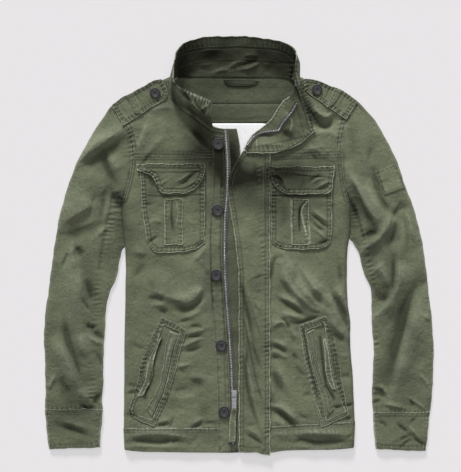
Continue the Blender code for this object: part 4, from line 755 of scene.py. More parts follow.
# rubbed lines above zero, and below zero painted shade of sunken rows, clefts and the edges of pieces: node:
# (line, half width, strength)
marks = {
    "collar": [
        ((-101, 357, -72, 364, 2, 368, 76, 362, 99, 349), 1.3, -0.5),
        ((-105, 336, -53, 342, 2, 344, 99, 338), 1.3, -0.45),
        ((-116, 362, -120, 340, -116, 314, -109, 292, -90, 281, -70, 272, -49, 266), 3.0, 1.0),
        ((-105, 307, -98, 292, -83, 284), 1.6, 0.6), ((-61, 266, -57, 251, -61, 238), 1.6, 0.5),
        ((-85, 277, -77, 259, -62, 244), 1.8, -0.5), ((-101, 284, -92, 268, -79, 251), 1.8, -0.5),
        ((-109, 299, -101, 277, -86, 255), 1.5, -0.35),
        ((113, 299, 121, 273, 130, 247, 139, 218), 1.6, -0.55),
        ((106, 292, 113, 268, 123, 240, 130, 212), 1.6, -0.5),
        ((97, 281, 106, 255, 115, 229, 121, 205), 1.5, -0.35), ((111, 270, 136, 275), 1.3, -0.4),
        ((115, 257, 139, 262), 1.3, -0.4), ((119, 244, 143, 249), 1.3, -0.4),
        ((123, 231, 145, 236), 1.3, -0.4), ((124, 218, 147, 223), 1.3, -0.35),
        ((99, 344, 102, 321, 110, 303, 119, 279), 1.8, 0.8), ((87, 247, 99, 229, 95, 212), 1.3, 0.8),
        ((78, 288, 58, 262, 36, 233), 1.8, -0.4), ((87, 284, 69, 259, 43, 229), 1.6, -0.3),
        ((34, 181, 32, 199), 1.2, 0.4), ((2, 177, 43, 185, 95, 196, 136, 207), 1.6, -0.4),
        ((-79, 325, -53, 321, -20, 333, 2, 340), 2.0, 0.25), ((-24, 321, 2, 329, 25, 344), 1.8, 0.35),
    ],
    "chest_pocket_right": [
        ((-136, 88, -136, 44, -135, 3), 1.3, 0.6), ((-107, 88, -107, 44, -105, 3), 1.3, 0.5),
        ((-172, 94, -146, 92, -109, 92, -68, 96), 1.4, -0.6), ((-133, 88, -133, 3), 1.0, -0.5),
        ((-111, 88, -109, 3), 1.0, -0.4),
    ],
    "pocket_pleat_right": [
        ((-123, 85, -125, 57, -122, 29), 1.4, -0.5), ((-116, 85, -112, 62, -116, 37), 1.2, 0.3),
    ],
    "chest_pocket_left": [
        ((97, 88, 97, 44, 99, 3), 1.3, 0.6), ((124, 88, 130, 44, 132, 3), 1.3, 0.55),
        ((60, 94, 95, 92, 132, 92, 173, 92), 1.4, -0.6), ((100, 88, 100, 3), 1.0, -0.5),
    ],
    "pocket_pleat_left": [
        ((130, 87, 119, 74, 115, 62, 121, 37, 130, 5), 1.6, 0.8),
        ((124, 85, 113, 70, 111, 48, 113, 25), 1.8, -0.7),
    ],
    "pocket_flap_right": [
        ((-186, 138, -146, 136, -109, 136, -66, 138), 1.2, -0.5),
        ((-164, 129, -153, 114, -149, 103), 1.6, -0.6),
    ],
    "pocket_flap_left": [
        ((58, 133, 95, 133, 132, 129, 174, 127), 1.2, -0.5), ((65, 122, 80, 114, 91, 99), 1.6, -0.4),
    ],
    "hip_frame_right": [
        hipClefts["right"], ((-144, -150, -160, -221, -181, -271, -199, -304), 1.4, 0.8),
        ((-107, -156, -127, -211, -138, -258, -160, -322), 1.3, 0.7),
        ((-140, -156, -155, -219, -173, -267, -194, -302), 1.3, -0.7),
    ],
    "hip_welt_right": [
        ((-142, -171, -153, -204, -160, -234, -175, -285), 2.4, -0.85),
        ((-123, -167, -135, -211, -149, -258), 1.4, 0.4),
    ],
    "hip_liner_right": [
        ((-146, -178, -157, -222, -172, -282), 2.0, -0.6), ((-151, -211, -162, -248, -170, -259), 1.2, 1.0),
    ],
    "hip_frame_left": [
        hipClefts["left"], ((113, -150, 123, -211, 141, -285, 158, -332), 1.3, 0.6),
        ((158, -137, 169, -211, 187, -285, 200, -308), 1.3, 0.7),
        ((119, -152, 130, -215, 147, -285), 1.3, -0.6), ((154, -141, 163, -211, 180, -278), 1.4, -0.6),
    ],
    "hip_welt_left": [
        ((150, -165, 154, -202, 161, -258, 178, -285), 2.4, -0.85),
    ],
    "hip_liner_left": [
        ((158, -211, 161, -248, 182, -280), 1.4, 1.0), ((152, -174, 152, -211, 158, -256), 2.2, -0.8),
    ],
    "front_right": [
        hipClefts["right"], ((-99, 118, -101, 85, -101, 48), 1.3, 0.2),
        ((-62, 129, -61, 75, -62, 29), 1.5, -0.45), ((-177, 112, -168, 33, -146, -4), 2.2, -0.3),
    ],
    "front_left": [
        hipClefts["left"], ((173, 92, 176, 44, 169, 11), 1.6, -0.4),
        ((54, 159, 54, -26, 58, -322), 1.6, -0.35),
    ],
    "storm_flap": [
        ((10, -137, 21, -193, 32, -248, 43, -285), 2.0, -0.45), ((2, -156, 13, -211, 28, -271), 1.6, 0.25),
    ],
    "button_band": [
        ((-55, 186, -53, -8, -49, -156, -44, -285), 1.6, -0.45),
        ((-31, 177, -35, -8, -27, -156, -24, -322), 1.4, -0.4),
    ],
    "strap_right": [
        ((-205, 277, -194, 262, -183, 251), 1.3, -0.5), ((-194, 284, -183, 270, -172, 259), 1.1, -0.35),
        ((-172, 299, -153, 277), 1.2, -0.4), ((-220, 262, -207, 247), 1.2, -0.4),
        ((-164, 277, -146, 284), 1.2, 0.5),
    ],
    "strap_left": [
        ((169, 296, 161, 277, 154, 266), 1.3, -0.5), ((182, 288, 174, 270, 167, 255), 1.1, -0.4),
        ((195, 277, 187, 262, 180, 247), 1.2, -0.4), ((154, 303, 143, 284), 1.2, -0.4),
    ],
    "sleeve_right": [
        ((-233, 99, -242, 57, -251, 11, -260, -45), 3.0, -0.35),
        ((-205, 218, -199, 192, -199, 162), 1.3, 0.3),
    ],
    "sleeve_left": [
        ((206, 92, 219, 61, 232, 14), 3.0, -0.4), ((193, 229, 191, 196, 191, 162), 1.3, 0.3),
    ],
    "back_facing_upper": [
        ((-72, 296, -25, 299, 39, 297, 86, 288), 2.2, -0.25),
        ((-31, 309, -20, 296, 21, 294, 36, 307), 2.0, -0.55), ((-86, 264, -16, 264, 62, 266), 1.4, -0.5),
    ],
    "back_facing_lower": [
        ((-86, 257, -16, 259, 58, 259), 1.2, 0.25), ((-79, 236, -16, 235, 43, 236), 1.3, -0.45),
    ],
    "hanger_loop": [
        ((-27, 309, 2, 307, 32, 307), 1.0, 0.5), ((-24, 301, 2, 299, 28, 299), 1.0, -0.5),
    ],
    "sleeve_patch": [
        ((254, 148, 261, 125, 269, 99), 1.1, -0.5), ((295, 155, 300, 129, 304, 109), 1.1, -0.45),
    ],
}

# edges that go on under their neighbour: node: (line of the edge, reach, shift)
underlaps = {
    "sleeve_right": ((-205, 218, -199, 196, -199, 160, -206, 120, -214, 90, -219, 66, -217, 45, -213, 15,
        -214, 3), 9, (4.5, 0)),
    "sleeve_left": ((191, 236, 188, 199, 189, 162, 195, 135, 203, 90, 210, 58, 210, 30, 209, 16), 9, (-4.5,
        0)),
    "back_facing_upper": ((-118, 305, -105, 310, 95, 310, 105, 305), 9, (0, 5)),
    "back_panel": ((-128, 300, -116, 308, -105, 311, 95, 311, 108, 305, 118, 298), 9, (0, 7)),
}

# painted shade where folds and the collar's shadow leave the cloth dark, and painted light where below zero:
# (middle x and y, half sizes, strength, turn in degrees where it has one)
shadeAndLightPatches = [
    # under the collar, right front
    (-31, 159, 26, 63, 0.3), (-11, 173, 15, 56, 0.3), (-127, 144, 56, 18, 0.12), (-72, 210, 24, 48, 0.55),
    (-42, 162, 37, 41, 0.6), (-12, 133, 26, 33, 0.49), (-90, 144, 24, 63, 0.29),
    # under the collar, left front
    (15, 103, 26, 44, 0.2), (113, 136, 56, 17, 0.2), (32, 125, 44, 24, 0.6), (87, 136, 44, 24, 0.53),
    (62, 79, 59, 22, 0.35), (113, 103, 44, 44, 0.2), (91, 210, 22, 26, 0.28), (132, 262, 17, 18, 0.25),
    # collar
    (-7, 355, 115, 18, 0.3), (-12, 321, 96, 24, 0.37), (-103, 321, 15, 37, 0.22), (-25, 299, 56, 17, 0.22),
    # right shoulder
    (-164, 292, 26, 18, 0.16), (-127, 251, 20, 18, 0.3), (-62, 255, 18, 26, 0.15),
    # right sleeve
    (-316, -322, 63, 130, 0.13), (-294, -285, 37, 37, 0.1), (-218, 59, 11, 44, 0.42),
    (-308, 44, 22, 30, 0.14), (-238, 107, 15, 30, 0.18), (-279, -93, 20, 48, 0.39), (-312, -315, 41, 26, 0.3),
    (-349, -148, 17, 44, 0.16), (-308, -248, 26, 37, 0.14),
    # right side
    (-220, 0, 26, 30, 0.12), (-53, 75, 22, 22, 0.2), (-7, -137, 18, 111, 0.1), (-205, 14, 18, 37, 0.22),
    (-164, 99, 22, 26, 0.18), (-123, 85, 20, 15, 0.26), (-164, -258, 22, 33, 0.16),
    (-123, -137, 18, 26, 0.12), (-49, -74, 17, 31, 0.26),
    # left sleeve
    (302, -267, 48, 130, 0.12), (247, -49, 15, 44, 0.14), (213, 59, 11, 41, 0.38),
    (280, -30, 15, 56, 0.26, 10), (243, 11, 15, 33, 0.33), (276, -97, 18, 26, 0.26),
    (272, -245, 22, 30, 0.22), (317, -156, 18, 44, 0.19), (272, 149, 30, 63, -0.18),
    (322, 38, 17, 85, -0.26, 8),
    # left side
    (136, -23, 48, 30, 0.12), (69, 57, 41, 30, 0.12), (21, -137, 26, 74, 0.08), (198, 214, 26, 70, -0.12),
    (202, 59, 15, 22, 0.26), (176, -237, 17, 52, 0.2), (21, -193, 20, 111, 0.1), (17, 18, 20, 37, -0.14),
    (-53, 38, 56, 37, -0.06),
]


def patchShadeAndLight(x, y):
    total = np.zeros(x.shape)
    for px, py, across, along, strength, *turn in shadeAndLightPatches:
        angle = math.radians(sum(turn))
        c, s = math.cos(angle), math.sin(angle)
        u, v = (c * (x - px) + s * (y - py)) / across, (c * (y - py) - s * (x - px)) / along
        total += strength * np.exp(-(u * u + v * v))
    return total


neck = {"middle": 290, "halfWidth": 110, "halfDepth": 100, "shade": 0.58, "front": 262, "change": 30}


# painted shade of the collar's inner side, which its own walls shadow: its points face the neck's middle, and
# lie behind its front
def insideCollar(mesh, x, y):
    normals = np.array([v.normal for v in mesh.vertices])
    inward = -normals[:, 0] * x / neck["halfWidth"] - normals[:, 1] * (y - neck["middle"]) / neck["halfDepth"]
    behind = smoothStep((y - neck["front"]) / neck["change"])
    return neck["shade"] * smoothStep((inward + 0.02) / 0.15) * behind


# distance of points from the nearest edge of the node's upper face, how far along the edges they are,
# and how long all edges are
def edgeDistance(node, x, y):
    reach, beyond = 16, 99.0
    fromEdge = np.full(x.shape, beyond)
    alongEdge = np.zeros(x.shape)
    start = 0.0
    for rim in rims[node]:
        near = np.flatnonzero(nearLine(x, y, rim, reach))
        if len(near):
            signed, along, length = lineDistance(x[near], y[near], rim)
            closer = np.abs(signed) < fromEdge[near]
            fromEdge[near[closer]] = np.abs(signed)[closer]
            alongEdge[near[closer]] = start + along[closer]
            start += length
    return fromEdge, alongEdge, start


# how rubbed the node's marks leave the node, and how much painted shade they add
def markStrength(node, x, y):
    rubbed, cleft = np.zeros(x.shape), np.zeros(x.shape)
    for line, halfWidth, strength in marks.get(node, ()):
        points = pairs(line)
        near = nearLine(x, y, points, 3 * halfWidth)
        if near.any():
            signed, along, length = lineDistance(x[near], y[near], points)
            ends = smoothStep((along + 1) / 5) * smoothStep((length + 1 - along) / 5)        # over 5 mm
            target = rubbed if strength > 0 else cleft
            mark = abs(strength) * ends * np.exp(-(signed / halfWidth) ** 2)
            target[near] = np.maximum(target[near], mark)
    return rubbed, cleft


drawn = {"pitch": 7.6, "fromEdge": 4.2, "halfWidth": 4.0}        # the puckers of a seam along each edge
# the dark of a sunken row of stitches is painted shade
groove = {"halfWidth": 1.1, "depth": 0.4, "dark": 0.5}           # a row of stitches sinks in
# pale of worn edges, and of folds' and puckers' tops, which is partly rubbing and partly painted highlight
wearAndHighlight = {"halfWidth": 1.5, "lift": 0.12, "crest": 0.16}           # of edges, of folds' and of puckers' tops
# painted shade: a level for all cloth, so that patches of painted light can go below it, then of folds'
# bottoms (partly also the unfaded cloth of the valleys), clefts and puckers' bottoms
shade = {"plain": 0.12, "fold": 0.48, "cleft": 0.85, "pucker": 0.3}
foldTop, foldBottom, puckerFull = 4, 3.5, 0.8        # heights at which wear and shade are at their full
curlReach, strayReach = 9, 5       # from the edge
lowest, highest = -3.6, 9.0        # how far folds may move the cloth
wallFoot, wallRise = 2.4, 3.4      # the under side stays flat up to the first, and the second is the change


# a cloth piece on its node's form, with the folds of the tables, drawn seams, worn edges, and painted shade
# and highlights
def sewnPiece(node, cuts, material, edgeWear):
    mesh = clothShape(node, cuts)
    places = readPlaces(mesh)
    x, y, z = places.T.copy()
    insets, puckered, straying, curled = edgingOf(node)
    fromEdge, alongEdge, edgesLength = edgeDistance(node, x, y)
    sheltered = insideCollar(mesh, x, y) if node == "collar" else 0
    folds = creaseHeight(x, y)
    drawnUp = puckerHeight(x, y)
    drift = ripples(alongEdge, (2.2, 17, edgesLength), (1.3, 7.1, 0))
    wave = np.sin(math.tau * alongEdge / drawn["pitch"] + drift) * (0.7 + ripples(alongEdge, (0.3, 23, 0)))
    drawnUp += puckered * wave * np.exp(-((fromEdge - drawn["fromEdge"]) / drawn["halfWidth"]) ** 2)
    curl = curled * smoothStep(1 - fromEdge / curlReach)
    curl = curl * (0.7 + 0.5 * np.sin(alongEdge / 11 + 1) * np.sin(alongEdge / 27))
    sunk = np.zeros(x.shape)
    for inset in insets:
        sunk = np.maximum(sunk, np.exp(-((fromEdge - inset) / groove["halfWidth"]) ** 2))
    if node in sewnWhere:
        sunk *= sewnWhere[node](x, y)
    rise = np.clip(folds + slowWaves(x, y) + drawnUp + curl, lowest, highest) - groove["depth"] * sunk
    places[:, 2] += rise * smoothStep((z - wallFoot) / wallRise)
    held = straying * np.exp(-(fromEdge / strayReach) ** 2)
    for axis, sideways in enumerate(stray(x, y)):
        places[:, axis] += held * sideways
    if node in underlaps:
        line, reach, shift = underlaps[node]
        signed, along, length = lineDistance(x, y, pairs(line))
        share = smoothStep(1.3 - np.abs(signed) / reach)        # whole near the line, none past the reach
        places[:, 0] += shift[0] * share
        places[:, 1] += shift[1] * share
    writePlaces(mesh, places)
    rubbed, cleft = markStrength(node, x, y)
    wornAndLit = edgeWear * np.exp(-(fromEdge / wearAndHighlight["halfWidth"]) ** 2)
    # fold and pucker tops lifted pale: partly wear, partly painted highlight
    wornAndLit += wearAndHighlight["lift"] * np.clip(folds / foldTop, 0, 1) + wearAndHighlight["crest"] * np.clip(drawnUp, 0, puckerFull)
    setAttribute(mesh, "wearAndHighlight", np.maximum(wornAndLit, rubbed) * (1 - 0.7 * cleft))
    # painted shade: a base level, folds' bottoms, clefts, puckers' bottoms and the grooves of stitch rows
    dark = shade["plain"] + shade["fold"] * np.clip(-folds / foldBottom, 0, 1) + shade["cleft"] * cleft
    dark += shade["pucker"] * np.clip(-drawnUp, 0, puckerFull) + groove["dark"] * sunk
    # painted shade and painted light of the listed patches
    dark += patchShadeAndLight(x, y)
    # painted shade inside the collar
    dark += sheltered
    setAttribute(mesh, "shade", dark)
    mesh.name = "cloth_" + node
    return addPiece("cloth_" + node, mesh, material)


# node: (cuts, cut width, cut length, cut area or None, edge wear, what it lies on)
floorName = "floor"
bodyPieces = {
    "back_panel": (2, 0.46, 0.65, 0.272, 0.2, [floorName]),
    "hem_band_back": (2, 0.046, 0.43, None, 0.3, [floorName]),
    "front_right": (3, 0.21, 0.51, 0.103, 0.12, ["back_panel"]),
    "front_left": (3, 0.21, 0.515, 0.105, 0.12, ["back_panel"]),
    "front_yoke_right": (3, 0.145, 0.217, 0.0205, 0.12, ["back_panel"]),
    "front_yoke_left": (3, 0.142, 0.22, 0.0195, 0.12, ["back_panel"]),
    "hem_band_right": (3, 0.048, 0.21, None, 0.35, ["hem_band_back"]),
    "hem_band_left": (3, 0.05, 0.215, None, 0.35, ["hem_band_back"]),
}
neckPieces = {
    "back_facing_upper": (2, 0.048, 0.256, None, 0.2, ["back_panel"]),
    "back_facing_lower": (2, 0.036, 0.256, None, 0.2, ["back_panel"]),
    "back_lining": (3, 0.11, 0.124, None, 0.0, ["back_panel"]),
    "hanger_loop": (2, 0.014, 0.066, None, 0.5, ["back_facing_upper"]),
    "collar": (4, 0.11, 0.52, 0.037, 0.85, ["back_panel", "front_yoke_left", "front_yoke_right"]),
}
sleevePieces = {
    "sleeve_right": (3, 0.43, 0.60, 0.122, 0.15, [floorName]),
    "sleeve_left": (3, 0.43, 0.61, 0.126, 0.15, [floorName]),
    "cuff_right": (3, 0.075, 0.21, 0.0156, 0.45, [floorName]),
    "cuff_left": (3, 0.075, 0.208, 0.0150, 0.45, [floorName]),
    "sleeve_patch": (3, 0.044, 0.047, None, 0.35, ["sleeve_left"]),
}
closurePieces = {
    "button_band": (2, 0.034, 0.59, 0.0147, 0.3, ["front_right"]),
    "zip_guard": (2, 0.027, 0.60, 0.0132, 0.3, ["back_panel"]),
    "zip_tape_right": (2, 0.012, 0.60, 0.0062, 0, ["zip_guard"]),
    "zip_tape_left": (2, 0.012, 0.125, 0.0013, 0, ["collar"]),
    "zip_tape_left_lower": (2, 0.0105, 0.55, None, 0, ["zip_guard"]),
    "storm_flap": (3, 0.08, 0.565, 0.037, 0.9, ["front_left", "zip_tape_left_lower"]),
    "zip_pull_strip": (2, 0.0135, 0.07, None, 0.6, ["storm_flap"]),
}
pocketPieces = {}
for side, chest, pleat, flap in (("right", (0.12, 0.155, 0.0180), (0.034, 0.087), (0.055, 0.126, 0.0058)),
                                 ("left", (0.114, 0.146, None), (0.032, 0.087), (0.051, 0.122, None))):
    pocketPieces["chest_pocket_" + side] = (4, *chest, 0.7, ["front_" + side])
    pocketPieces["pocket_pleat_" + side] = (4, *pleat, None, 0.8, ["chest_pocket_" + side])
    pocketPieces["pocket_flap_" + side] = (4, *flap, 1.0, ["chest_pocket_" + side])
hipPieces = {
    "hip_frame_right": (4, 0.066, 0.197, 0.0054, 0.5, ["front_right"]),
    "hip_frame_left": (4, 0.063, 0.20, 0.0063, 0.5, ["front_left"]),
    "hip_welt_right": (2, 0.022, 0.162, 0.0024, 0.5, ["front_right"]),
    "hip_welt_left": (2, 0.020, 0.163, 0.0021, 0.5, ["front_left"]),
    "hip_liner_right": (3, 0.017, 0.118, 0.0011, 1.0, ["front_right"]),
    "hip_liner_left": (3, 0.013, 0.096, 0.0010, 1.0, ["front_left"]),
}
shoulderPieces = {}
for side, strap, loop in (("right", (0.046, 0.106, None), (0.014, 0.043)),
                          ("left", (0.042, 0.106, 0.0039), (0.013, 0.042))):
    shoulderPieces["strap_" + side] = (4, *strap, 0.5, ["front_yoke_" + side])
    shoulderPieces["strap_loop_" + side] = (2, *loop, None, 0.5, ["strap_" + side])

# the inner pieces and the zip guard take the darker twill, which is painted shade
finishes = {"back_facing_upper": shadedTwill, "back_facing_lower": shadedTwill, "hanger_loop": shadedTwill,
            "zip_guard": shadedTwill, "back_lining": liningCloth, "zip_tape_right": zipTapeCloth,
            "zip_tape_left": zipTapeCloth, "zip_tape_left_lower": zipTapeCloth}
slotOf = {shadedTwill: "inside_twill", liningCloth: "lining", zipTapeCloth: "zip_tape", oliveTwill: "twill"}
cloth = {}
for group in (bodyPieces, neckPieces, sleevePieces, closurePieces, pocketPieces, hipPieces, shoulderPieces):
    for node, (cuts, width, length, area, edgeWear, under) in group.items():
        finish = finishes.get(node, oliveTwill)
        piece = cloth[node] = sewnPiece(node, cuts, finish, edgeWear)
        finishPiece(piece, slotOf[finish], node, body="zip_pull" if node == "zip_pull_strip" else "jacket")
print("cloth pieces:", len(cloth), "triangles:", triangles(cloth.values()))

# pieces that lie on others keep clear of them: the gap left, the margin round the upper one, the height
# below which points stay, how far under a point its ray starts, and how far it may sink
pile = {"gap": 0.3, "margin": 4, "leastHeight": 3, "look": 4, "deepest": 3}
# (upper pieces, what they press down)
piles = [
    (["front_right", "front_yoke_right"], ["sleeve_right"]),
    (["front_left", "front_yoke_left"], ["sleeve_left"]),
    (["chest_pocket_right", "hip_welt_right", "hip_liner_right", "button_band"], ["front_right"]),
    (["chest_pocket_left", "hip_welt_left", "hip_liner_left", "storm_flap"],
     ["front_left", "zip_tape_left_lower"]),
    (["pocket_pleat_right"], ["chest_pocket_right"]),
    (["pocket_pleat_left"], ["chest_pocket_left"]),
    (["hip_frame_right"], ["front_right", "hip_welt_right", "hip_liner_right", "hem_band_right"]),
    (["hip_frame_left"], ["front_left", "hip_welt_left", "hip_liner_left", "hem_band_left"]),
    (["button_band"], ["zip_tape_right", "front_yoke_right", "hem_band_right"]),
    (["storm_flap"], ["zip_tape_right", "front_yoke_left", "hem_band_left", "chest_pocket_left"]),
    (["pocket_flap_right"], ["chest_pocket_right", "pocket_pleat_right", "front_right", "front_yoke_right"]),
    (["pocket_flap_left"], ["chest_pocket_left", "pocket_pleat_left", "front_left", "front_yoke_left",
                            "storm_flap"]),
    (["strap_right"], ["front_yoke_right", "sleeve_right"]),
    (["strap_left"], ["front_yoke_left", "sleeve_left"]),
    (["strap_loop_right"], ["strap_right", "front_yoke_right"]),
    (["strap_loop_left"], ["strap_left", "front_yoke_left"]),
    (["collar"], ["front_yoke_left", "front_yoke_right", "storm_flap", "strap_left", "strap_right",
                  "back_facing_upper", "zip_guard"]),
    (["zip_tape_left"], ["collar"]),
    (["sleeve_patch"], ["sleeve_left"]),
]


# presses a lower piece's points down until they are clear of the upper piece
def pressDown(cover, low, high, lower):
    places = readPlaces(lower.data)
    near = (places[:, 0] > low.x - pile["margin"]) & (places[:, 0] < high.x + pile["margin"])
    near &= (places[:, 1] > low.y - pile["margin"]) & (places[:, 1] < high.y + pile["margin"])
    near &= places[:, 2] > pile["leastHeight"]
    for i in np.flatnonzero(near):
        px, py, pz = places[i]
        hit = cover.ray_cast(Vector((px, py, pz - pile["look"])) * mm, up)[0]
        if hit is not None and hit.z / mm < pz + pile["gap"]:
            places[i, 2] = max(hit.z / mm - pile["gap"], pz - pile["deepest"])
    writePlaces(lower.data, places)


for uppers, lowers in piles:
    for upper in uppers:
        cover = facesOf(cloth[upper].data)
        low, high = (Vector(corner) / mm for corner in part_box(upper))
        for lower in lowers:
            pressDown(cover, low, high, cloth[lower])
print("layers settled")


# sewing thread

stitch = {"length": 3.2, "gap": 1.1, "width": 0.75, "height": 0.55, "sink": 0.08, "steepest": 3}
solidShape, solidOwner = bmesh.new(), []
for node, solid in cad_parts.items():
    solidShape.from_mesh(solid.data)
    solidOwner += [node] * len(solid.data.polygons)
solidTree = BVHTree.FromBMesh(solidShape)
solidShape.free()


# the node that is uppermost at a plan point
def topNode(x, y):
    index = fromAbove(solidTree, x, y)[2]
    return None if index is None else solidOwner[index]


# points a step apart along a line, each with the line's direction there
def evenSteps(points, step):
    steps, left = [], 0.0
    for a, b in zip(points, points[1:]):
        a, b = Vector(a), Vector(b)
        length = (b - a).length
        while left < length:
            steps.append((a.lerp(b, left / length), (b - a).normalized()))
            left += step
        left -= length
    return steps


# the line moved to its left, with its corners softened
def insetLine(points, inset):
    spacing, leastSpacing, neighbours = 2.0, 0.9, 2
    steps = evenSteps(points, spacing)
    moved = []
    for i, (place, _) in enumerate(steps):
        beside = steps[max(i - neighbours, 0):i + neighbours + 1]
        direction = sum((direction for _, direction in beside), Vector((0, 0)))
        direction.normalize()
        moved.append(place + inset * Vector((-direction.y, direction.x)))
    kept = moved[:1]
    for place in moved[1:]:
        if (place - kept[-1]).length > leastSpacing:
            kept.append(place)
    return [tuple(p) for p in kept]


stitchShape = bmesh.new()
bmesh.ops.create_uvsphere(stitchShape, u_segments=6, v_segments=3, radius=0.5)
bmesh.ops.rotate(stitchShape, verts=stitchShape.verts, cent=(0, 0, 0),
                 matrix=Matrix.Rotation(math.pi / 2, 3, "Y"))
bmesh.ops.scale(stitchShape, verts=stitchShape.verts,
                vec=[stitch[size] * mm for size in ("length", "width", "height")])
stitchTemplate = meshOf("one_stitch", stitchShape)


# places of the stitches of some lines on a piece, where nothing covers them
def sewOn(node, lines):
    tree = facesOf(cloth[node].data)
    places = []
    for line in lines:
        for place, direction in evenSteps(line, stitch["length"] + stitch["gap"]):
            if topNode(*place) != node:
                continue
            spots = [place + share * stitch["length"] * direction for share in (-0.4, 0, 0.4)]
            rays = [fromAbove(tree, *spot) for spot in spots]
            ends = [(hit, normal) for hit, normal, _, _ in rays if hit is not None]
            if len(ends) < 3 or abs(ends[0][0].z - ends[2][0].z) > stitch["steepest"] * mm:
                continue
            along = (ends[2][0] - ends[0][0]).normalized()
            normal = (ends[1][1] - along * ends[1][1].dot(along)).normalized()
            places.append(standing(ends[1][0] - normal * stitch["sink"] * mm, along, normal))
    return places


# rows across a piece: node: lines
crossRows = {
    "collar": [
        (-112, 352, -95, 362, -60, 368, 0, 370, 55, 368, 88, 360, 102, 346),
        (-112, 346, -95, 356, -60, 362, 0, 364, 55, 362, 88, 354, 101, 340),
        (-108, 330, -80, 340, -40, 344, 10, 345, 60, 343, 92, 334),
    ],
    "sleeve_right": [
        (*rightSleeveSeam, -273, -299),
        (-231, 101, -239, 55, -248, 23, -255, -10, -263, -43, -268, -75, -270, -119, -276, -156, -276, -193,
         -276, -234, -279, -299),
    ],
    "sleeve_left": [
        (204, 104, 217, 82, 225, 58, 232, 32, 243, -15, 254, -58, 260, -102, 260, -156, 258, -211, 258,
         -300),
        (210, 106, 223, 84, 231, 60, 238, 34, 249, -13, 260, -56, 266, -100, 266, -156, 264, -211, 264,
         -300),
    ],
    "storm_flap": [
        (46, 160, 46, 60, 48, -60, 50, -380),
        (38, 160, 38, 60, 41, -60, 43, -380),
    ],
    "back_facing_upper": [
        (1, 300, 1, 266),
        (5, 300, 5, 266),
    ],
    "button_band": [
        (-48, 150, -46, 0, -44, -100, -38, -200, -34, -330),
    ],
}
stitches = []
for node in cloth:
    rows = [insetLine(rim, inset) for rim in rims[node] for inset in edgingOf(node)[0]]
    if node in sewnWhere:
        rows = [[p for p in row if sewnWhere[node](*p)] for row in rows]
    rows += [pairs(line) for line in crossRows.get(node, ())]
    if rows:
        stitches += sewOn(node, rows)
sewing = addPiece("sewing_thread", repeated("sewing_thread", stitchTemplate, stitches), thread)
finishPiece(sewing, "twill")
print("stitches:", len(stitches), "triangles:", triangles([sewing]))


# buttons

frontButton = {"radius": 11.2, "thick": 3.6, "steps": 40}
strapButton = {"radius": 10.0, "thick": 3.6, "steps": 36}
# from the under side's middle round the rim to the top's middle: (share of the radius, of the thickness)
buttonProfile = [(0, 0), (0.80, 0), (0.94, 0.14), (1, 0.42), (0.985, 0.72), (0.93, 0.93), (0.86, 1.0),
                 (0.78, 0.95), (0.73, 0.80), (0.66, 0.78), (0.62, 0.88), (0.56, 0.90), (0.52, 0.76),
                 (0.40, 0.70), (0.36, 0.80), (0.28, 0.82), (0.24, 0.70), (0.10, 0.66), (0, 0.66)]
ringHighlights = ((0.93, 0.5), (0.58, 0.7), (0.31, 0.5))        # (share of the radius, strength)
ringHalfWidth = 0.05


def turnedButton(node, size):
    low, high = (Vector(corner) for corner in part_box(node))
    middle = (low + high) / 2
    r, t = size["radius"] * mm, size["thick"] * mm
    shape = bmesh.new()
    points = [shape.verts.new((middle.x + a * r, middle.y, low.z + b * t)) for a, b in buttonProfile]
    edges = [shape.edges.new(pair) for pair in zip(points, points[1:])]
    bmesh.ops.spin(shape, geom=points + edges, cent=(middle.x, middle.y, 0), axis=(0, 0, 1), angle=math.tau,
                   steps=size["steps"], use_merge=True)
    bmesh.ops.remove_doubles(shape, verts=shape.verts, dist=0.005 * mm)
    bmesh.ops.recalc_face_normals(shape, faces=shape.faces)
    piece = addPiece("turned_" + node, meshOf("turned_" + node, shape), buttonFinish)
    places = readPlaces(piece.data) * mm
    share = np.hypot(places[:, 0] - middle.x, places[:, 1] - middle.y) / r
    # painted highlight on the ridges of the rings, on the upper side only
    rubbed = sum(strength * np.exp(-((share - at) / ringHalfWidth) ** 2) for at, strength in ringHighlights)
    setAttribute(piece.data, "rubbed", rubbed * (places[:, 2] > middle.z))
    finishPiece(piece, "button", node)


for number in range(1, 6):
    turnedButton("button_%d" % number, frontButton)
for side in ("right", "left"):
    turnedButton("strap_button_" + side, strapButton)
for node in ("zip_slider", "zip_pull"):
    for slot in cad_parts[node].material_slots:
        slot.material = nickel


# zip teeth

tooth = {"pitch": 3.0, "length": 3.5, "width": 1.6, "height": 1.5, "rounding": 0.3, "middle": 0.45}
toothShape = bmesh.new()
bmesh.ops.create_cube(toothShape, size=1)
bmesh.ops.scale(toothShape, verts=toothShape.verts,
                vec=[tooth[size] * mm for size in ("width", "length", "height")])
bmesh.ops.bevel(toothShape, geom=toothShape.edges[:], offset=tooth["rounding"] * mm, segments=1, profile=0.5,
                affect="EDGES", material=-1)
toothTemplate = meshOf("one_tooth", toothShape)
chains = {
    "zip_tape_right": (-10.5, -366, -12.5, -254, -15.5, -191, -19.5, -142, -22.5, -105, -25.5, -55, -26.5,
        -8, -25.5, 55, -21.5, 92, -20.5, 110, -20.5, 151, -21.5, 174, -23.5, 197, -24.5, 214),
    "zip_tape_left": (108, 264, 97, 245, 82, 228, 74, 213, 44, 210, 26, 200, 15, 184),
}


# places of the teeth on a zip's tape
def chain(node, line):
    tree = facesOf(cloth[node].data)
    places = []
    for place, direction in evenSteps(pairs(line), tooth["pitch"]):
        hit, normal, _, _ = fromAbove(tree, *place)
        if hit is not None:
            along = Vector((*direction, 0))
            along = (along - normal * along.dot(normal)).normalized()
            places.append(standing(hit + normal * tooth["middle"] * mm, along, normal))
    return places


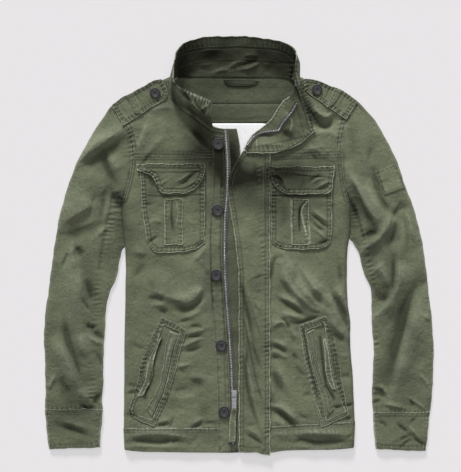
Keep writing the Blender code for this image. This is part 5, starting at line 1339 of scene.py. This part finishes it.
for node, line in chains.items():
    name = "teeth_" + node
    teeth = addPiece(name, repeated(name, toothTemplate, chain(node, line)), nickel)
    finishPiece(teeth, "nickel")
print("buttons, slider and teeth ready")


# floor, light and camera

table = {"halfSize": 6, "gap": 0.2 * mm}        # in metres; the gap is under the cloth
floorShape = bmesh.new()
bmesh.ops.create_grid(floorShape, x_segments=1, y_segments=1, size=table["halfSize"])
bmesh.ops.translate(floorShape, verts=floorShape.verts, vec=(0, 0, -table["gap"]))
floorMaterial = startMaterial("pale acrylic table, lit from below", {
    "Roughness": 1.0, "Specular IOR Level": 0.0, "Base Color": linearColour("#928F91"),
    "Emission Color": linearColour("#BFBEBF"), "Emission Strength": 1.0})[0]
floor = addPiece(floorName, meshOf(floorName, floorShape), floorMaterial)

# (share of the floor's light, tilt from straight above, turn to the left, softness)
lamps = {"raking": (0.50, 66, 12, 14), "frontal": (0.24, 24, -25, 40)}
skyShare = 0.26
for name, (share, tilt, turn, softness) in lamps.items():
    lamp = bpy.data.objects.new(name + " light", bpy.data.lights.new(name + " light", "SUN"))
    lamp.data.energy = share * math.pi / math.cos(math.radians(tilt))
    lamp.data.angle = math.radians(softness)
    lamp.rotation_euler = (math.radians(-tilt), 0, math.radians(turn))
    scene.collection.objects.link(lamp)
sky = bpy.data.worlds.new("studio")
sky.use_nodes = True
sky.node_tree.nodes["Background"].inputs["Color"].default_value = (1, 1, 1, 1)
sky.node_tree.nodes["Background"].inputs["Strength"].default_value = skyShare
scene.world = sky
scene.view_settings.view_transform = "Standard"

# a 36 mm sensor, high enough for a nearly flat view; across is what it takes in at the cloth's height
view = {"middle": (-15.26, 18.1), "across": 852.85, "distance": 4000, "height": 8, "sensor": 36}
camera = bpy.data.objects.new("camera", bpy.data.cameras.new("camera"))
camera.data.sensor_fit = "HORIZONTAL"
camera.data.sensor_width = view["sensor"]
camera.data.lens = view["sensor"] * view["distance"] / view["across"]
camera.data.clip_end = 20
camera.location = Vector((*view["middle"], view["distance"] + view["height"])) * mm
scene.collection.objects.link(camera)
scene.camera = camera
